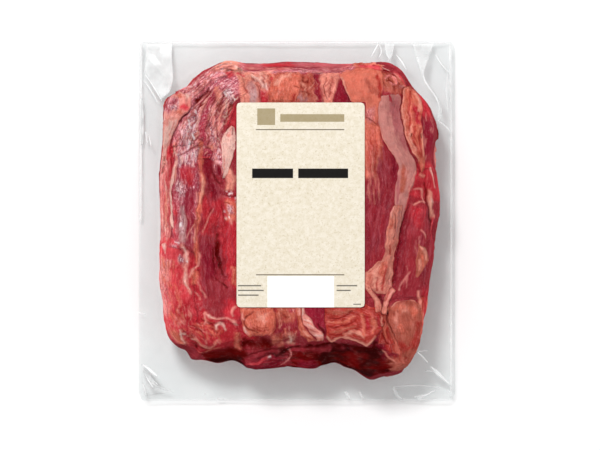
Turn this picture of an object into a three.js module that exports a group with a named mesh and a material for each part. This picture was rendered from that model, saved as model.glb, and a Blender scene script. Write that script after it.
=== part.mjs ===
// A vacuum-packed boneless ribeye: one thick slab of raw beef in a clear film pouch, with a paper label
// stuck on the film. The film is drawn tight over the meat, so pouch and meat are one solid: a lumpy
// slab with the flat, slightly drooping border of the two welded films all round it.
//
// Millimetres. X runs across the pack, Y along it and along the grain of the meat, Z up. The origin is
// on the surface that the pack lies on, under the middle of the pouch.
import * as THREE from "three";

// ---- Driving sizes ----
const POUCH = { width: 250, length: 284, corner: 5, film: 0.8 };
const MEAT = { halfWidth: 109.5, halfLength: 121.5, squareness: 5, height: 62 };
const LABEL = { width: 100, length: 160, corner: 3, thickness: 0.4, gap: 0.3, x: 2.9, y: 12.6 };

// ---- Side profile ----
const SEAM_HEIGHT = 22; // the films meet here, on the side of the meat
const EDGE_HEIGHT = 5; // the free edge of the border, above the table
const BRIDGE = 5; // the film leaves the meat this far above and below the seam
const BRIDGE_REACH = 4; // and has come down to the seam after about this run
const TOP = { flatness: 7, roundness: 2.2 }; // a blocky top with rounded shoulders
const UNDERSIDE = { flatness: 1.6, roundness: 2, flatShare: 0.8 }; // flattened by its own weight

// ---- Mesh ----
const AROUND = 156; // points round each ring
const CROWN_SHARES = [0.25, 0.4]; // rings under the label
const TOP_RINGS = 16;
const BORDER_RINGS = 5;
const UNDERSIDE_RINGS = 4;

// Places where the outline stands out from the plain rounded rectangle, or is drawn in:
// the direction in degrees, the push in millimetres and the half width in degrees.
const LOBES = [
  { at: 7, push: 3.6, spread: 9 },
  { at: 26, push: -2.4, spread: 4 },
  { at: 33, push: 3, spread: 5 },
  { at: 48, push: -3.4, spread: 5 },
  { at: 60, push: 5.6, spread: 7 },
  { at: 90, push: 4.2, spread: 26 },
  { at: 114, push: 4.6, spread: 4 },
  { at: 130, push: -6.5, spread: 5.5 },
  { at: 137, push: 3, spread: 3.5 },
  { at: 150, push: -3, spread: 9 },
  { at: 182, push: -1.4, spread: 16 },
  { at: 214, push: -2.6, spread: 7 },
  { at: 233, push: -8, spread: 9 },
  { at: 245, push: -10, spread: 6 },
  { at: 264, push: -7.6, spread: 13 },
  { at: 285, push: -11.5, spread: 6.5 },
  { at: 300, push: 4, spread: 7 },
  { at: 326, push: -9, spread: 15 },
];

// The muscles, folds and clefts of the upper side. Each follows a smooth line of [x, y] points over the
// slab, with a half width, and stands out from it by its rise, or is sunk into it where that is negative.
const FORMS = [
  // upper left: the knob, the cleft behind it and the strands beside the label
  { line: [[-99, 82], [-96, 94], [-88, 98]], half: 8, rise: 5 },
  { line: [[-100, 60], [-94, 76], [-82, 89], [-72, 104]], half: 5, rise: -6 },
  { line: [[-80, 84], [-86, 60], [-88, 20], [-87, -14]], half: 8, rise: 4 },
  { line: [[-62, 112], [-71, 90], [-72, 62]], half: 6, rise: 3.5 },
  { line: [[-75, 44], [-76, 12], [-79, -12], [-77, -34]], half: 5, rise: 3 },
  { line: [[-71, 48], [-66, 37], [-58, 30]], half: 5, rise: -4 },
  { line: [[-62, -8], [-62, -24], [-57, -40]], half: 5, rise: -7 },
  // lower left: the smooth lobe, the fold beside it and the notch at the corner
  { line: [[-98, -28], [-97, -56], [-88, -80]], half: 13, rise: 5 },
  { line: [[-82, -34], [-80, -52], [-71, -68]], half: 5, rise: -4 },
  { line: [[-84, -92], [-82, -106]], half: 5, rise: -7 },
  { line: [[-70, -72], [-61, -80], [-70, -92]], half: 8, rise: 4 },
  // top edge: a band that lies lower, and the lumps of fat and sinew between it and the label
  { line: [[-40, 120], [-5, 121], [34, 121]], half: 5, rise: -4.5 },
  { line: [[-14, 112], [-8, 102]], half: 10, rise: 3.5 },
  { line: [[17, 118], [17, 102]], half: 5, rise: -3.5 },
  { line: [[58, 116], [62, 98]], half: 15, rise: 4 },
  { line: [[68, 124], [80, 115], [90, 106]], half: 5, rise: -4 },
  // right: the silverskin band, the cleft and the fat beside it, then the dark muscles
  { line: [[70, 92], [76, 62], [86, 38], [82, 12]], half: 8, rise: 3 },
  { line: [[82, 106], [80, 84], [85, 60], [94, 42]], half: 5, rise: -6 },
  { line: [[90, 100], [89, 78], [97, 48]], half: 7, rise: 5 },
  { line: [[92, 22], [84, 0], [79, -22], [76, -50]], half: 5, rise: -7 },
  { line: [[73, 6], [71, -20], [66, -46]], half: 5, rise: 3.5 },
  { line: [[94, 6], [93, -20], [88, -46]], half: 9, rise: 5 },
  { line: [[102, 24], [104, 4], [108, -14]], half: 5, rise: -5 },
  // lower right: the pale lobe and the cleft that parts it from the slab of fat
  { line: [[84, -68], [88, -84], [86, -100]], half: 11, rise: 6 },
  { line: [[68, -68], [72, -82], [80, -97]], half: 5, rise: -6 },
  // below the label: lumps of fat whose edge hangs over a lower, darker shelf
  { line: [[-40, -80], [-24, -82]], half: 9, rise: 5 },
  { line: [[4, -78], [16, -88]], half: 7, rise: 4 },
  { line: [[30, -83], [60, -85]], half: 10, rise: 4.5 },
  { line: [[-66, -104], [-30, -100], [10, -101], [56, -106]], half: 6, rise: -9 },
  { line: [[-40, -114], [-12, -112], [24, -111]], half: 5, rise: 4 },
];

// Folds of the border, which run from the meat to the corners and edges of the pouch.
const PLEATS = [
  { line: [[-98, 104], [-124, 140]], half: 4, rise: 2.2 },
  { line: [[-106, 92], [-122, 120]], half: 3.5, rise: -1.6 },
  { line: [[88, 112], [108, 138]], half: 4, rise: 2 },
  { line: [[98, 100], [123, 128]], half: 4, rise: 2.2 },
  { line: [[-94, -104], [-122, -136]], half: 4, rise: 2.2 },
  { line: [[94, -104], [120, -134]], half: 4, rise: 2.4 },
  { line: [[60, -124], [66, -141]], half: 4, rise: 1.4 },
  { line: [[-40, 126], [-46, 141]], half: 4, rise: 1.2 },
];

const { PI, abs, atan2, cos, exp, hypot, max, min, round, sign, sin } = Math;
const { smoothstep, lerp, radToDeg } = THREE.MathUtils;

// ---- Outline ----

// How far the meat reaches from the middle in a direction, in radians.
function rimRadius(angle) {
  const { halfWidth, halfLength, squareness } = MEAT;
  const across = abs(cos(angle) / halfWidth) ** squareness;
  const along = abs(sin(angle) / halfLength) ** squareness;
  let radius = (across + along) ** (-1 / squareness);
  for (const { at, push, spread } of LOBES) {
    const off = (((radToDeg(angle) - at) % 360) + 540) % 360 - 180;
    radius += push * exp(-((off / spread) ** 2));
  }
  return radius;
}

// Points spaced evenly round the pouch, which is a rectangle with rounded corners.
function pouchOutline() {
  const { width, length, corner } = POUCH;
  const [x, y] = [width / 2, length / 2];
  const outline = new THREE.Path().moveTo(x, 0);
  outline.lineTo(x, y - corner).absarc(x - corner, y - corner, corner, 0, PI / 2);
  outline.lineTo(corner - x, y).absarc(corner - x, y - corner, corner, PI / 2, PI);
  outline.lineTo(-x, corner - y).absarc(corner - x, corner - y, corner, PI, 1.5 * PI);
  outline.lineTo(x - corner, -y).absarc(x - corner, corner - y, corner, 1.5 * PI, 2 * PI);
  outline.lineTo(x, 0);
  return outline.getSpacedPoints(AROUND).slice(0, AROUND);
}

// ---- Heights. A share is the distance from the middle as a part of the meat's own reach. ----

function rounded(share, { flatness, roundness }) {
  return max(0, 1 - share ** flatness) ** (1 / roundness);
}

function domeHeight(share) {
  const wallFoot = SEAM_HEIGHT + BRIDGE;
  return wallFoot + (MEAT.height - wallFoot) * rounded(share, TOP);
}

function undersideHeight(share) {
  const lift = max(0, (share - UNDERSIDE.flatShare) / (1 - UNDERSIDE.flatShare));
  return (SEAM_HEIGHT - BRIDGE) * (1 - rounded(lift, UNDERSIDE));
}

// The point of the smooth slab above a place.
function onDome(x, y) {
  return new THREE.Vector3(x, y, domeHeight(min(1, hypot(x, y) / rimRadius(atan2(y, x)))));
}

// ---- Relief ----

// What a list of forms adds at a point: each is round across its line and tapers at its ends.
function reliefOf(forms, place) {
  const strokes = forms.map(({ line, half, rise }) => {
    const curve = new THREE.SplineCurve(line.map(([x, y]) => new THREE.Vector2(x, y)));
    return { points: curve.getSpacedPoints(24).map(({ x, y }) => place(x, y)), half, rise };
  });
  return (point) =>
    strokes.reduce((sum, { points, half, rise }) => {
      const nearest = min(...points.map((p) => p.distanceTo(point)));
      return sum + rise * exp(-((nearest / half) ** 2));
    }, 0);
}

const formRelief = reliefOf(FORMS, onDome);
const pleatRelief = reliefOf(PLEATS, (x, y) => new THREE.Vector3(x, y, 0));

// 0 under the label, where the film is smooth, and 1 clear of it.
function clearOfLabel({ x, y }) {
  const besideX = max(abs(x - LABEL.x) - LABEL.width / 2, 0);
  const besideY = max(abs(y - LABEL.y) - LABEL.length / 2, 0);
  return smoothstep(hypot(besideX, besideY), 1, 9);
}

// The height of the middle of the border's thickness, a share of the way out to the pouch's edge.
function borderHeight(x, y, out) {
  const droop = lerp(SEAM_HEIGHT, EDGE_HEIGHT, 1 - (1 - out) ** 1.5);
  const wave = 1.1 * sin(x / 21 + 1) * cos(y / 26) + 0.6 * sin((x - y) / 9);
  return droop + (wave + pleatRelief(new THREE.Vector3(x, y, 0))) * smoothstep(out, 0, 0.5);
}

// ---- Surfaces ----

function indexedGeometry(points, faces) {
  const geometry = new THREE.BufferGeometry();
  geometry.setAttribute("position", new THREE.Float32BufferAttribute(points.flat(), 3));
  geometry.setIndex(faces);
  geometry.computeVertexNormals();
  return geometry;
}

// Steps of share, from one value to another, evenly spaced along a side profile.
function evenShares(height, from, to, count) {
  const fine = 400;
  const lengths = [0];
  for (let i = 1; i <= fine; i++) {
    const [a, b] = [lerp(from, to, (i - 1) / fine), lerp(from, to, i / fine)];
    lengths.push(lengths[i - 1] + hypot((b - a) * MEAT.halfLength, height(b) - height(a)));
  }
  return Array.from({ length: count }, (_, k) => {
    const wanted = (lengths[fine] * (k + 1)) / count;
    return lerp(from, to, lengths.findIndex((length) => length >= wanted - 1e-9) / fine);
  });
}

// Moves the points above the seam along their normals, so that forms stand out of walls as of the top.
function addRelief(rings) {
  const wallFoot = SEAM_HEIGHT + BRIDGE;
  const { position, normal } = ringedSolid(rings).attributes;
  const moved = Array.from({ length: position.count }, (_, i) => {
    const point = new THREE.Vector3().fromBufferAttribute(position, i);
    const outwards = new THREE.Vector3().fromBufferAttribute(normal, i);
    const weight = smoothstep(point.z, wallFoot, wallFoot + 12) * clearOfLabel(point);
    if (weight > 0) point.addScaledVector(outwards, formRelief(point) * weight);
    return point;
  });
  let next = 0;
  return rings.map((ring) => ring.map(() => moved[next++]));
}

// Draws each point above the seam half way to the middle of its four neighbours: film bridges sharp folds.
function drawTight(rings) {
  const lowest = SEAM_HEIGHT + 2 * BRIDGE;
  return rings.map((ring, r) =>
    ring.map((point, i) => {
      if (r < 2 || point.z < lowest) return point.toArray();
      const around = [rings[r - 1][i], rings[r + 1][i], ring[(i + 1) % AROUND], ring.at(i - 1)];
      const middle = around.reduce((sum, p) => sum.addScaledVector(p, 1 / 4), new THREE.Vector3());
      return point.clone().lerp(middle, 0.5).toArray();
    }),
  );
}

// A closed surface of rings, of which the first and the last hold a single point each.
function ringedSolid(rings) {
  const points = rings.flat();
  const starts = rings.map((_, r) => rings.slice(0, r).reduce((sum, ring) => sum + ring.length, 0));
  const at = (r, i) => starts[r] + (i % rings[r].length);
  const apart = (a, b) => hypot(...points[a].map((value, axis) => value - points[b][axis]));
  const faces = [];
  for (let i = 0; i < AROUND; i++) {
    for (let r = 0; r < rings.length - 1; r++) {
      const [a, b, c, d] = [at(r, i), at(r + 1, i), at(r + 1, i + 1), at(r, i + 1)];
      if (a === d) faces.push(a, b, c);
      else if (b === c) faces.push(a, b, d);
      else if (apart(a, c) < apart(b, d)) faces.push(a, b, c, a, c, d);
      else faces.push(a, b, d, b, c, d);
    }
  }
  return indexedGeometry(points, faces);
}

function pouchGeometry() {
  const spokes = pouchOutline().map((edge) => {
    const angle = atan2(edge.y, edge.x);
    const radius = rimRadius(angle);
    return { edge, rim: new THREE.Vector2(radius * cos(angle), radius * sin(angle)) };
  });
  const slabRing = (height) => (share) =>
    spokes.map(({ rim }) => [rim.x * share, rim.y * share, height(share)]);
  const borderRing = (side) => (out) =>
    spokes.map(({ rim, edge }) => {
      const { x, y } = rim.clone().lerp(edge, out);
      const bridge = BRIDGE * exp(-(rim.distanceTo(edge) * out) / BRIDGE_REACH);
      return [x, y, borderHeight(x, y, out) + side * max(bridge, POUCH.film / 2)];
    });
  const outwards = Array.from({ length: BORDER_RINGS }, (_, k) => ((k + 1) / BORDER_RINGS) ** 1.3);
  const { flatShare } = UNDERSIDE;
  const rings = [
    [[0, 0, domeHeight(0)]],
    ...CROWN_SHARES.map(slabRing(domeHeight)),
    ...evenShares(domeHeight, CROWN_SHARES.at(-1), 1, TOP_RINGS).map(slabRing(domeHeight)),
    ...outwards.map(borderRing(1)),
    ...outwards.toReversed().map(borderRing(-1)),
    slabRing(undersideHeight)(1),
    ...evenShares(undersideHeight, 1, flatShare, UNDERSIDE_RINGS).map(slabRing(undersideHeight)),
    slabRing(undersideHeight)(flatShare / 2),
    [[0, 0, 0]],
  ];
  return ringedSolid(drawTight(addRelief(rings)));
}

// Grid lines across a side of the label: even, with one more where the corners are rounded.
function labelLines(side, steps) {
  const straight = side / 2 - LABEL.corner;
  const inner = Array.from({ length: steps + 1 }, (_, i) => lerp(-straight, straight, i / steps));
  const onArc = straight + LABEL.corner * sin(PI / 4);
  return [-side / 2, -onArc, ...inner, onArc, side / 2];
}

// Draws a grid point near a corner in, so that the corner is a quarter of a circle.
function roundedCorner(x, y) {
  const [fromX, fromY] = [LABEL.width / 2 - LABEL.corner, LABEL.length / 2 - LABEL.corner];
  const [overX, overY] = [abs(x) - fromX, abs(y) - fromY];
  if (overX <= 0 || overY <= 0) return [x, y];
  const drawIn = max(overX, overY) / hypot(overX, overY);
  return [sign(x) * (fromX + overX * drawIn), sign(y) * (fromY + overY * drawIn)];
}

// A thin sheet that follows the smooth slab just above the film: a box of unit cells, one for each cell
// between the grid lines, whose points are then moved to their places.
function labelGeometry() {
  const columns = labelLines(LABEL.width, 11);
  const rows = labelLines(LABEL.length, 18);
  const [cellsX, cellsY] = [columns.length - 1, rows.length - 1];
  const sheet = new THREE.BoxGeometry(cellsX, cellsY, 1, cellsX, cellsY, 1);
  sheet.translate(cellsX / 2, cellsY / 2, 1 / 2);
  const { position } = sheet.attributes;
  for (let i = 0; i < position.count; i++) {
    const [column, row, upper] = [position.getX(i), position.getY(i), position.getZ(i)].map(round);
    const [dx, dy] = roundedCorner(columns[column], rows[row]);
    const point = onDome(LABEL.x + dx, LABEL.y + dy);
    point.z += LABEL.gap + upper * LABEL.thickness;
    position.setXYZ(i, ...point);
  }
  sheet.computeVertexNormals();
  return sheet;
}

// ---- The pack ----

const packedMeat = new THREE.MeshStandardMaterial({ color: 0xa5443f, roughness: 0.32, metalness: 0 });
const labelPaper = new THREE.MeshStandardMaterial({ color: 0xf3ecd8, roughness: 0.8, metalness: 0 });

const pouch = new THREE.Mesh(pouchGeometry(), packedMeat);
pouch.name = "pouch";

const label = new THREE.Mesh(labelGeometry(), labelPaper);
label.name = "label";

const pack = new THREE.Group();
pack.add(pouch, label);

export default pack;
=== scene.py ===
# %% [markdown]
# # A vacuum-packed ribeye
# The pack is one thick piece of raw beef in a clear film pouch, with a paper label on top. The packed
# solids are loaded first, because every piece made here takes its place and its size from them.

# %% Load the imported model
import math

import bmesh
import bpy
import numpy as np
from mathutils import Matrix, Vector
from mathutils.bvhtree import BVHTree


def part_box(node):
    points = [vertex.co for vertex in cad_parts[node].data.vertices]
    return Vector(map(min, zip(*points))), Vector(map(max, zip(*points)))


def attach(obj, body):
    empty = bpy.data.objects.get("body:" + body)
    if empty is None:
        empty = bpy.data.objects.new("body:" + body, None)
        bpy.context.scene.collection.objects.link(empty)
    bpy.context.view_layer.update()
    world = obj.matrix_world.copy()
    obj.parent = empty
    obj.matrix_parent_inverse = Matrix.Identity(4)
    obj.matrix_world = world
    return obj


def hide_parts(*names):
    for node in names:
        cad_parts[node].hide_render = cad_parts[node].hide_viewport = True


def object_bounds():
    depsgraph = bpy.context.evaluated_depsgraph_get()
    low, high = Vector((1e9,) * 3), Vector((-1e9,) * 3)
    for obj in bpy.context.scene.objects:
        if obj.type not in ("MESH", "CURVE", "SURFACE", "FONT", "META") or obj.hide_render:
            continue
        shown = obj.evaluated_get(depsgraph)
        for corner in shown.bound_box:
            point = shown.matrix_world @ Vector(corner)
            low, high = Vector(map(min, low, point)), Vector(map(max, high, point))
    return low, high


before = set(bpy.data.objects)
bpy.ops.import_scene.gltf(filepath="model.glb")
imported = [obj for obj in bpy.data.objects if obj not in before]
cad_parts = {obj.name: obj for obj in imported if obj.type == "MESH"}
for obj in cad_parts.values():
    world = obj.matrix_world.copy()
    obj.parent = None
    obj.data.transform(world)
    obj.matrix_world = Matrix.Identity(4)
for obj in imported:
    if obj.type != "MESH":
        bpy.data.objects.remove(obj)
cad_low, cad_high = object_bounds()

MM = 0.001
print("the pack measures", [round(v / MM) for v in cad_high - cad_low], "mm")

# %% [markdown]
# ## Camera, table and light
# The pack is seen from straight above. A long lens keeps its sides from leaning outwards. The table is
# white, and a large soft lamp at the upper left draws a faint shadow towards the lower right.

# %% Camera
VIEW_WIDTH = 471.6 * MM  # how much of the table is in view
LENS, SENSOR = 400, 36
MID_HEIGHT = 30 * MM
camera = bpy.data.objects.new("camera", bpy.data.cameras.new("camera"))
camera.data.lens, camera.data.sensor_width = LENS, SENSOR
camera.data.clip_end = 50
camera.location = (2.4 * MM, -3.1 * MM, MID_HEIGHT + VIEW_WIDTH / SENSOR * LENS)
bpy.context.scene.collection.objects.link(camera)
bpy.context.scene.camera = camera
print("the camera is", round(camera.location.z, 2), "m above the table")


# %% Choosing what an operator works on
def choose(*objects):
    """Leaves these objects selected, with the first one active."""
    bpy.ops.object.select_all(action="DESELECT")
    for obj in objects:
        obj.select_set(True)
    bpy.context.view_layer.objects.active = objects[0]
    return objects[0]


def add_modifier(obj, kind, **settings):
    """Adds a modifier, sets it and applies it at once."""
    choose(obj)
    modifier = obj.modifiers.new(kind.lower(), kind)
    for key, value in settings.items():
        setattr(modifier, key, value)
    bpy.ops.object.modifier_apply(modifier=modifier.name)
    return obj


def keep_faces(obj, test):
    """Deletes the faces of which no corner, in millimetres, passes the test."""
    choose(obj)
    bpy.ops.object.mode_set(mode="EDIT")
    bpy.ops.mesh.select_mode(type="FACE")
    bpy.ops.mesh.select_all(action="DESELECT")
    cage = bmesh.from_edit_mesh(obj.data)
    for face in cage.faces:
        face.select = not any(test(corner.co / MM) for corner in face.verts)
    bmesh.update_edit_mesh(obj.data)
    bpy.ops.mesh.delete(type="FACE")
    bpy.ops.object.mode_set(mode="OBJECT")


# %% Table and lamps
bpy.ops.mesh.primitive_plane_add(size=6, location=(0, 0, 0))
table = bpy.context.object
table.name = "table"

world = bpy.data.worlds.new("studio")
world.use_nodes = True
world.node_tree.nodes["Background"].inputs["Color"].default_value = (1.0, 1.0, 1.0, 1)
world.node_tree.nodes["Background"].inputs["Strength"].default_value = 0.75
bpy.context.scene.world = world
bpy.context.scene.view_settings.view_transform = "Standard"


def soft_lamp(name, place, size, power):
    lamp = bpy.data.objects.new(name, bpy.data.lights.new(name, "AREA"))
    lamp.data.shape, lamp.data.size, lamp.data.energy = "DISK", size, power
    lamp.location = place
    lamp.rotation_euler = (Vector((0, 0, 0)) - lamp.location).to_track_quat("-Z", "Y").to_euler()
    bpy.context.scene.collection.objects.link(lamp)
    return lamp


soft_lamp("key", (-0.55, 1.15, 1.95), 0.6, 30)

# %% [markdown]
# ## Shader helpers
# Materials are built from nodes, which is tedious by hand. This small class wraps an output of a node, so
# that ordinary arithmetic on it adds Math nodes, and any other node takes one call.


# %% Writing materials as arithmetic
class Wire:
    """The output of a node; arithmetic on it adds Math nodes."""

    def __init__(self, shader, socket):
        self.shader, self.socket = shader, socket

    def math(self, operation, *others, clamp=False):
        return self.shader.node(
            "ShaderNodeMath", {"operation": operation, "use_clamp": clamp}, dict(enumerate((self, *others)))
        )

    def __add__(self, other):
        return self.math("ADD", other)

    def __sub__(self, other):
        return self.math("SUBTRACT", other)

    def __rsub__(self, other):
        return self.shader.number(other).math("SUBTRACT", self)

    def __mul__(self, other):
        return self.math("MULTIPLY", other)

    def __abs__(self):
        return self.math("ABSOLUTE")

    __radd__, __rmul__ = __add__, __mul__

    def ramp(self, low, high):
        """0 up to low, 1 from high on, smooth between; low may be above high."""
        return self.shader.node(
            "ShaderNodeMapRange",
            {"interpolation_type": "SMOOTHSTEP"},
            {"Value": self, "From Min": low, "From Max": high},
        )

    def clamped(self):
        return self.math("ADD", 0.0, clamp=True)


class Shader:
    """A material under construction."""

    def __init__(self, name):
        self.material = bpy.data.materials.new(name)
        self.material.use_nodes = True
        self.nodes, self.links = self.material.node_tree.nodes, self.material.node_tree.links
        self.nodes.clear()

    def node(self, kind, settings=None, sockets=None, output=0):
        made = self.nodes.new(kind)
        for key, value in (settings or {}).items():
            setattr(made, key, value)
        for key, value in (sockets or {}).items():
            if isinstance(value, Wire):
                self.links.new(value.socket, made.inputs[key])
            elif value is not None:
                made.inputs[key].default_value = value
        return Wire(self, made.outputs[output])

    def number(self, value):
        wire = self.node("ShaderNodeValue")
        wire.socket.default_value = value
        return wire

    def scaled(self, vector, factors, shift=(0, 0, 0)):
        """Stretches and moves coordinates before a texture reads them."""
        return self.node("ShaderNodeMapping", {}, {"Vector": vector, "Scale": factors, "Location": shift})

    def place(self):
        """Object coordinates in millimetres."""
        texture = self.nodes.new("ShaderNodeTexCoord")
        return self.scaled(Wire(self, texture.outputs["Object"]), (1 / MM, 1 / MM, 1 / MM))

    def noise(self, vector, detail=2.0, roughness=0.5, distortion=0.0):
        sockets = {"Vector": vector, "Scale": 1.0, "Detail": detail, "Roughness": roughness}
        sockets["Distortion"] = distortion
        return self.node("ShaderNodeTexNoise", {"noise_dimensions": "3D"}, sockets)

    def mix(self, factor, first, second, blend="MIX"):
        made = self.nodes.new("ShaderNodeMix")
        made.data_type, made.blend_type, made.clamp_factor = "RGBA", blend, True
        for socket, value in zip((made.inputs[0], made.inputs[6], made.inputs[7]), (factor, first, second)):
            if isinstance(value, Wire):
                self.links.new(value.socket, socket)
            else:
                socket.default_value = value
        return Wire(self, made.outputs[2])

    def attribute(self, name, output):
        """What a mesh holds under this name: output 0 is its colour, 1 a vector and 2 a number."""
        return self.node("ShaderNodeAttribute", {"attribute_name": name}, output=output)

    def finish(self, surface):
        out = self.nodes.new("ShaderNodeOutputMaterial")
        self.links.new(surface.socket, out.inputs["Surface"])
        return self.material


def linear(code, alpha=1.0):
    """A colour code such as "c03a3a" as the linear colour that shaders take."""
    parts = [int(code[i : i + 2], 16) / 255 for i in (0, 2, 4)]
    return (*[v / 12.92 if v <= 0.04045 else ((v + 0.055) / 1.055) ** 2.4 for v in parts], alpha)


table_finish = Shader("table_white")
table.data.materials.append(
    table_finish.finish(
        table_finish.node(
            "ShaderNodeBsdfPrincipled", {}, {"Base Color": (0.93, 0.93, 0.93, 1), "Roughness": 0.9}
        )
    )
)
print("materials:", [m.name for m in bpy.data.materials])

# %% [markdown]
# ## The body of the meat
# Under the film lies one thick slab. It could be sculpted from a cube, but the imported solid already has
# its form, so a copy of that is used: its border of film is cut off, the gap is bridged, and the rest is
# smoothed and remade as an even, fine mesh that the forms can be pressed into.


# %% Copying a solid as a merged mesh
def copy_of(node, name):
    made = bpy.data.objects.new(name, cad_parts[node].data.copy())
    bpy.context.scene.collection.objects.link(made)
    made.data.materials.clear()
    choose(made)
    bpy.ops.object.mode_set(mode="EDIT")
    bpy.ops.mesh.select_all(action="SELECT")
    bpy.ops.mesh.remove_doubles(threshold=0.001 * MM)
    bpy.ops.object.mode_set(mode="OBJECT")
    return made


def points_of(obj):
    """The points of a piece, in millimetres."""
    flat = np.empty(len(obj.data.vertices) * 3)
    obj.data.vertices.foreach_get("co", flat)
    return flat.reshape(-1, 3) / MM


def normals_of(obj):
    """Which way a piece's surface faces at each point."""
    flat = np.empty(len(obj.data.vertices) * 3)
    obj.data.vertices.foreach_get("normal", flat)
    return flat.reshape(-1, 3)


def place_points(obj, places):
    """Moves the points of a piece to places in millimetres."""
    obj.data.vertices.foreach_set("co", (places * MM).ravel())
    obj.data.update()


def write_layer(obj, name, kind, values):
    """Gives a piece a named value at each point, for its material to read."""
    layer = obj.data.attributes.new(name, kind, "POINT")
    field = {"FLOAT": "value", "FLOAT_VECTOR": "vector", "FLOAT_COLOR": "color"}[kind]
    layer.data.foreach_set(field, np.ravel(values))


meat = copy_of("pouch", "meat")
corners = points_of(meat)
print("merged to", len(corners), "points")

# %% Where the film leaves the meat
RIM_HEIGHT = 27
ROUNDING = 0.02  # the solid's points are this true
rim = corners[np.abs(corners[:, 2] - RIM_HEIGHT) < ROUNDING]
rim_angle = np.arctan2(rim[:, 1], rim[:, 0])
rim_order = np.argsort(rim_angle)
rim_angle, rim_reach = rim_angle[rim_order], np.hypot(rim[:, 0], rim[:, 1])[rim_order]


def reach_at(x, y):
    """How far the meat reaches from the middle, in the direction of a place."""
    return np.interp(np.arctan2(y, x), rim_angle, rim_reach, period=2 * math.pi)


print("the rim has", len(rim), "points,", round(rim_reach.min()), "to", round(rim_reach.max()), "mm out")

# %% The slab without its border
keep_faces(meat, lambda corner: math.hypot(corner.x, corner.y) < reach_at(corner.x, corner.y) - ROUNDING)
bpy.ops.object.mode_set(mode="EDIT")
bpy.ops.mesh.select_mode(type="EDGE")
bpy.ops.mesh.select_all(action="DESELECT")
cage = bmesh.from_edit_mesh(meat.data)
for edge in cage.edges:
    edge.select = edge.is_boundary
bmesh.update_edit_mesh(meat.data)
bpy.ops.mesh.bridge_edge_loops()
bpy.ops.mesh.select_mode(type="VERT")
bpy.ops.object.mode_set(mode="OBJECT")
add_modifier(meat, "SUBSURF", levels=2, render_levels=2)
print("the smooth slab has", len(meat.data.polygons), "faces")

# %% An even, fine mesh
FINE = 0.82
LABEL_LOW, LABEL_HIGH = [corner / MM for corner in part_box("label")]
add_modifier(meat, "REMESH", mode="VOXEL", voxel_size=FINE * MM, adaptivity=0, use_smooth_shade=True)


def coarsen(obj, chosen, keep):
    """Leaves this share of the faces round the chosen points."""
    group = obj.vertex_groups.new(name="coarse")
    group.add(np.flatnonzero(chosen).tolist(), 1.0, "REPLACE")
    ratio = 1 - (1 - keep) * chosen.mean()
    add_modifier(obj, "DECIMATE", ratio=ratio, vertex_group="coarse", use_collapse_triangulate=True)
    obj.vertex_groups.clear()


def beside_label(spots, margin):
    """How far places are from the label's edge, inwards, less a margin."""
    return np.minimum(
        (LABEL_HIGH.x - LABEL_LOW.x) / 2 - margin - np.abs(spots[:, 0] - (LABEL_LOW.x + LABEL_HIGH.x) / 2),
        (LABEL_HIGH.y - LABEL_LOW.y) / 2 - margin - np.abs(spots[:, 1] - (LABEL_LOW.y + LABEL_HIGH.y) / 2),
    )


LABEL_LEVEL = 50  # under the label the slab's top is higher than this
HIDDEN_SHARE, SIDE_SHARE = 0.06, 0.25  # of the faces, what is left where little shows, and on the sides
spots = points_of(meat)
hidden = (spots[:, 2] < 24) | ((spots[:, 2] > LABEL_LEVEL) & (beside_label(spots, 4) > 0))
coarsen(meat, hidden, HIDDEN_SHARE)
spots = points_of(meat)
coarsen(meat, (spots[:, 2] > 22) & (spots[:, 2] < 42), SIDE_SHARE)
print("the fine slab has", len(meat.data.polygons), "faces")

# %% [markdown]
# ## Tissues
# Raw beef is not one colour. Muscle runs in bundles of fibres, fat lies on it in pale orange lumps,
# silverskin and sinew cross it as smooth pale bands, and clefts part the muscles. The dark of the clefts and
# grooves and of the lower side is painted shade, and the glints, sparkles and glare are painted highlights.
# Each is named here with its colour, how strongly its fibres show and how fatty it is.

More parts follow.
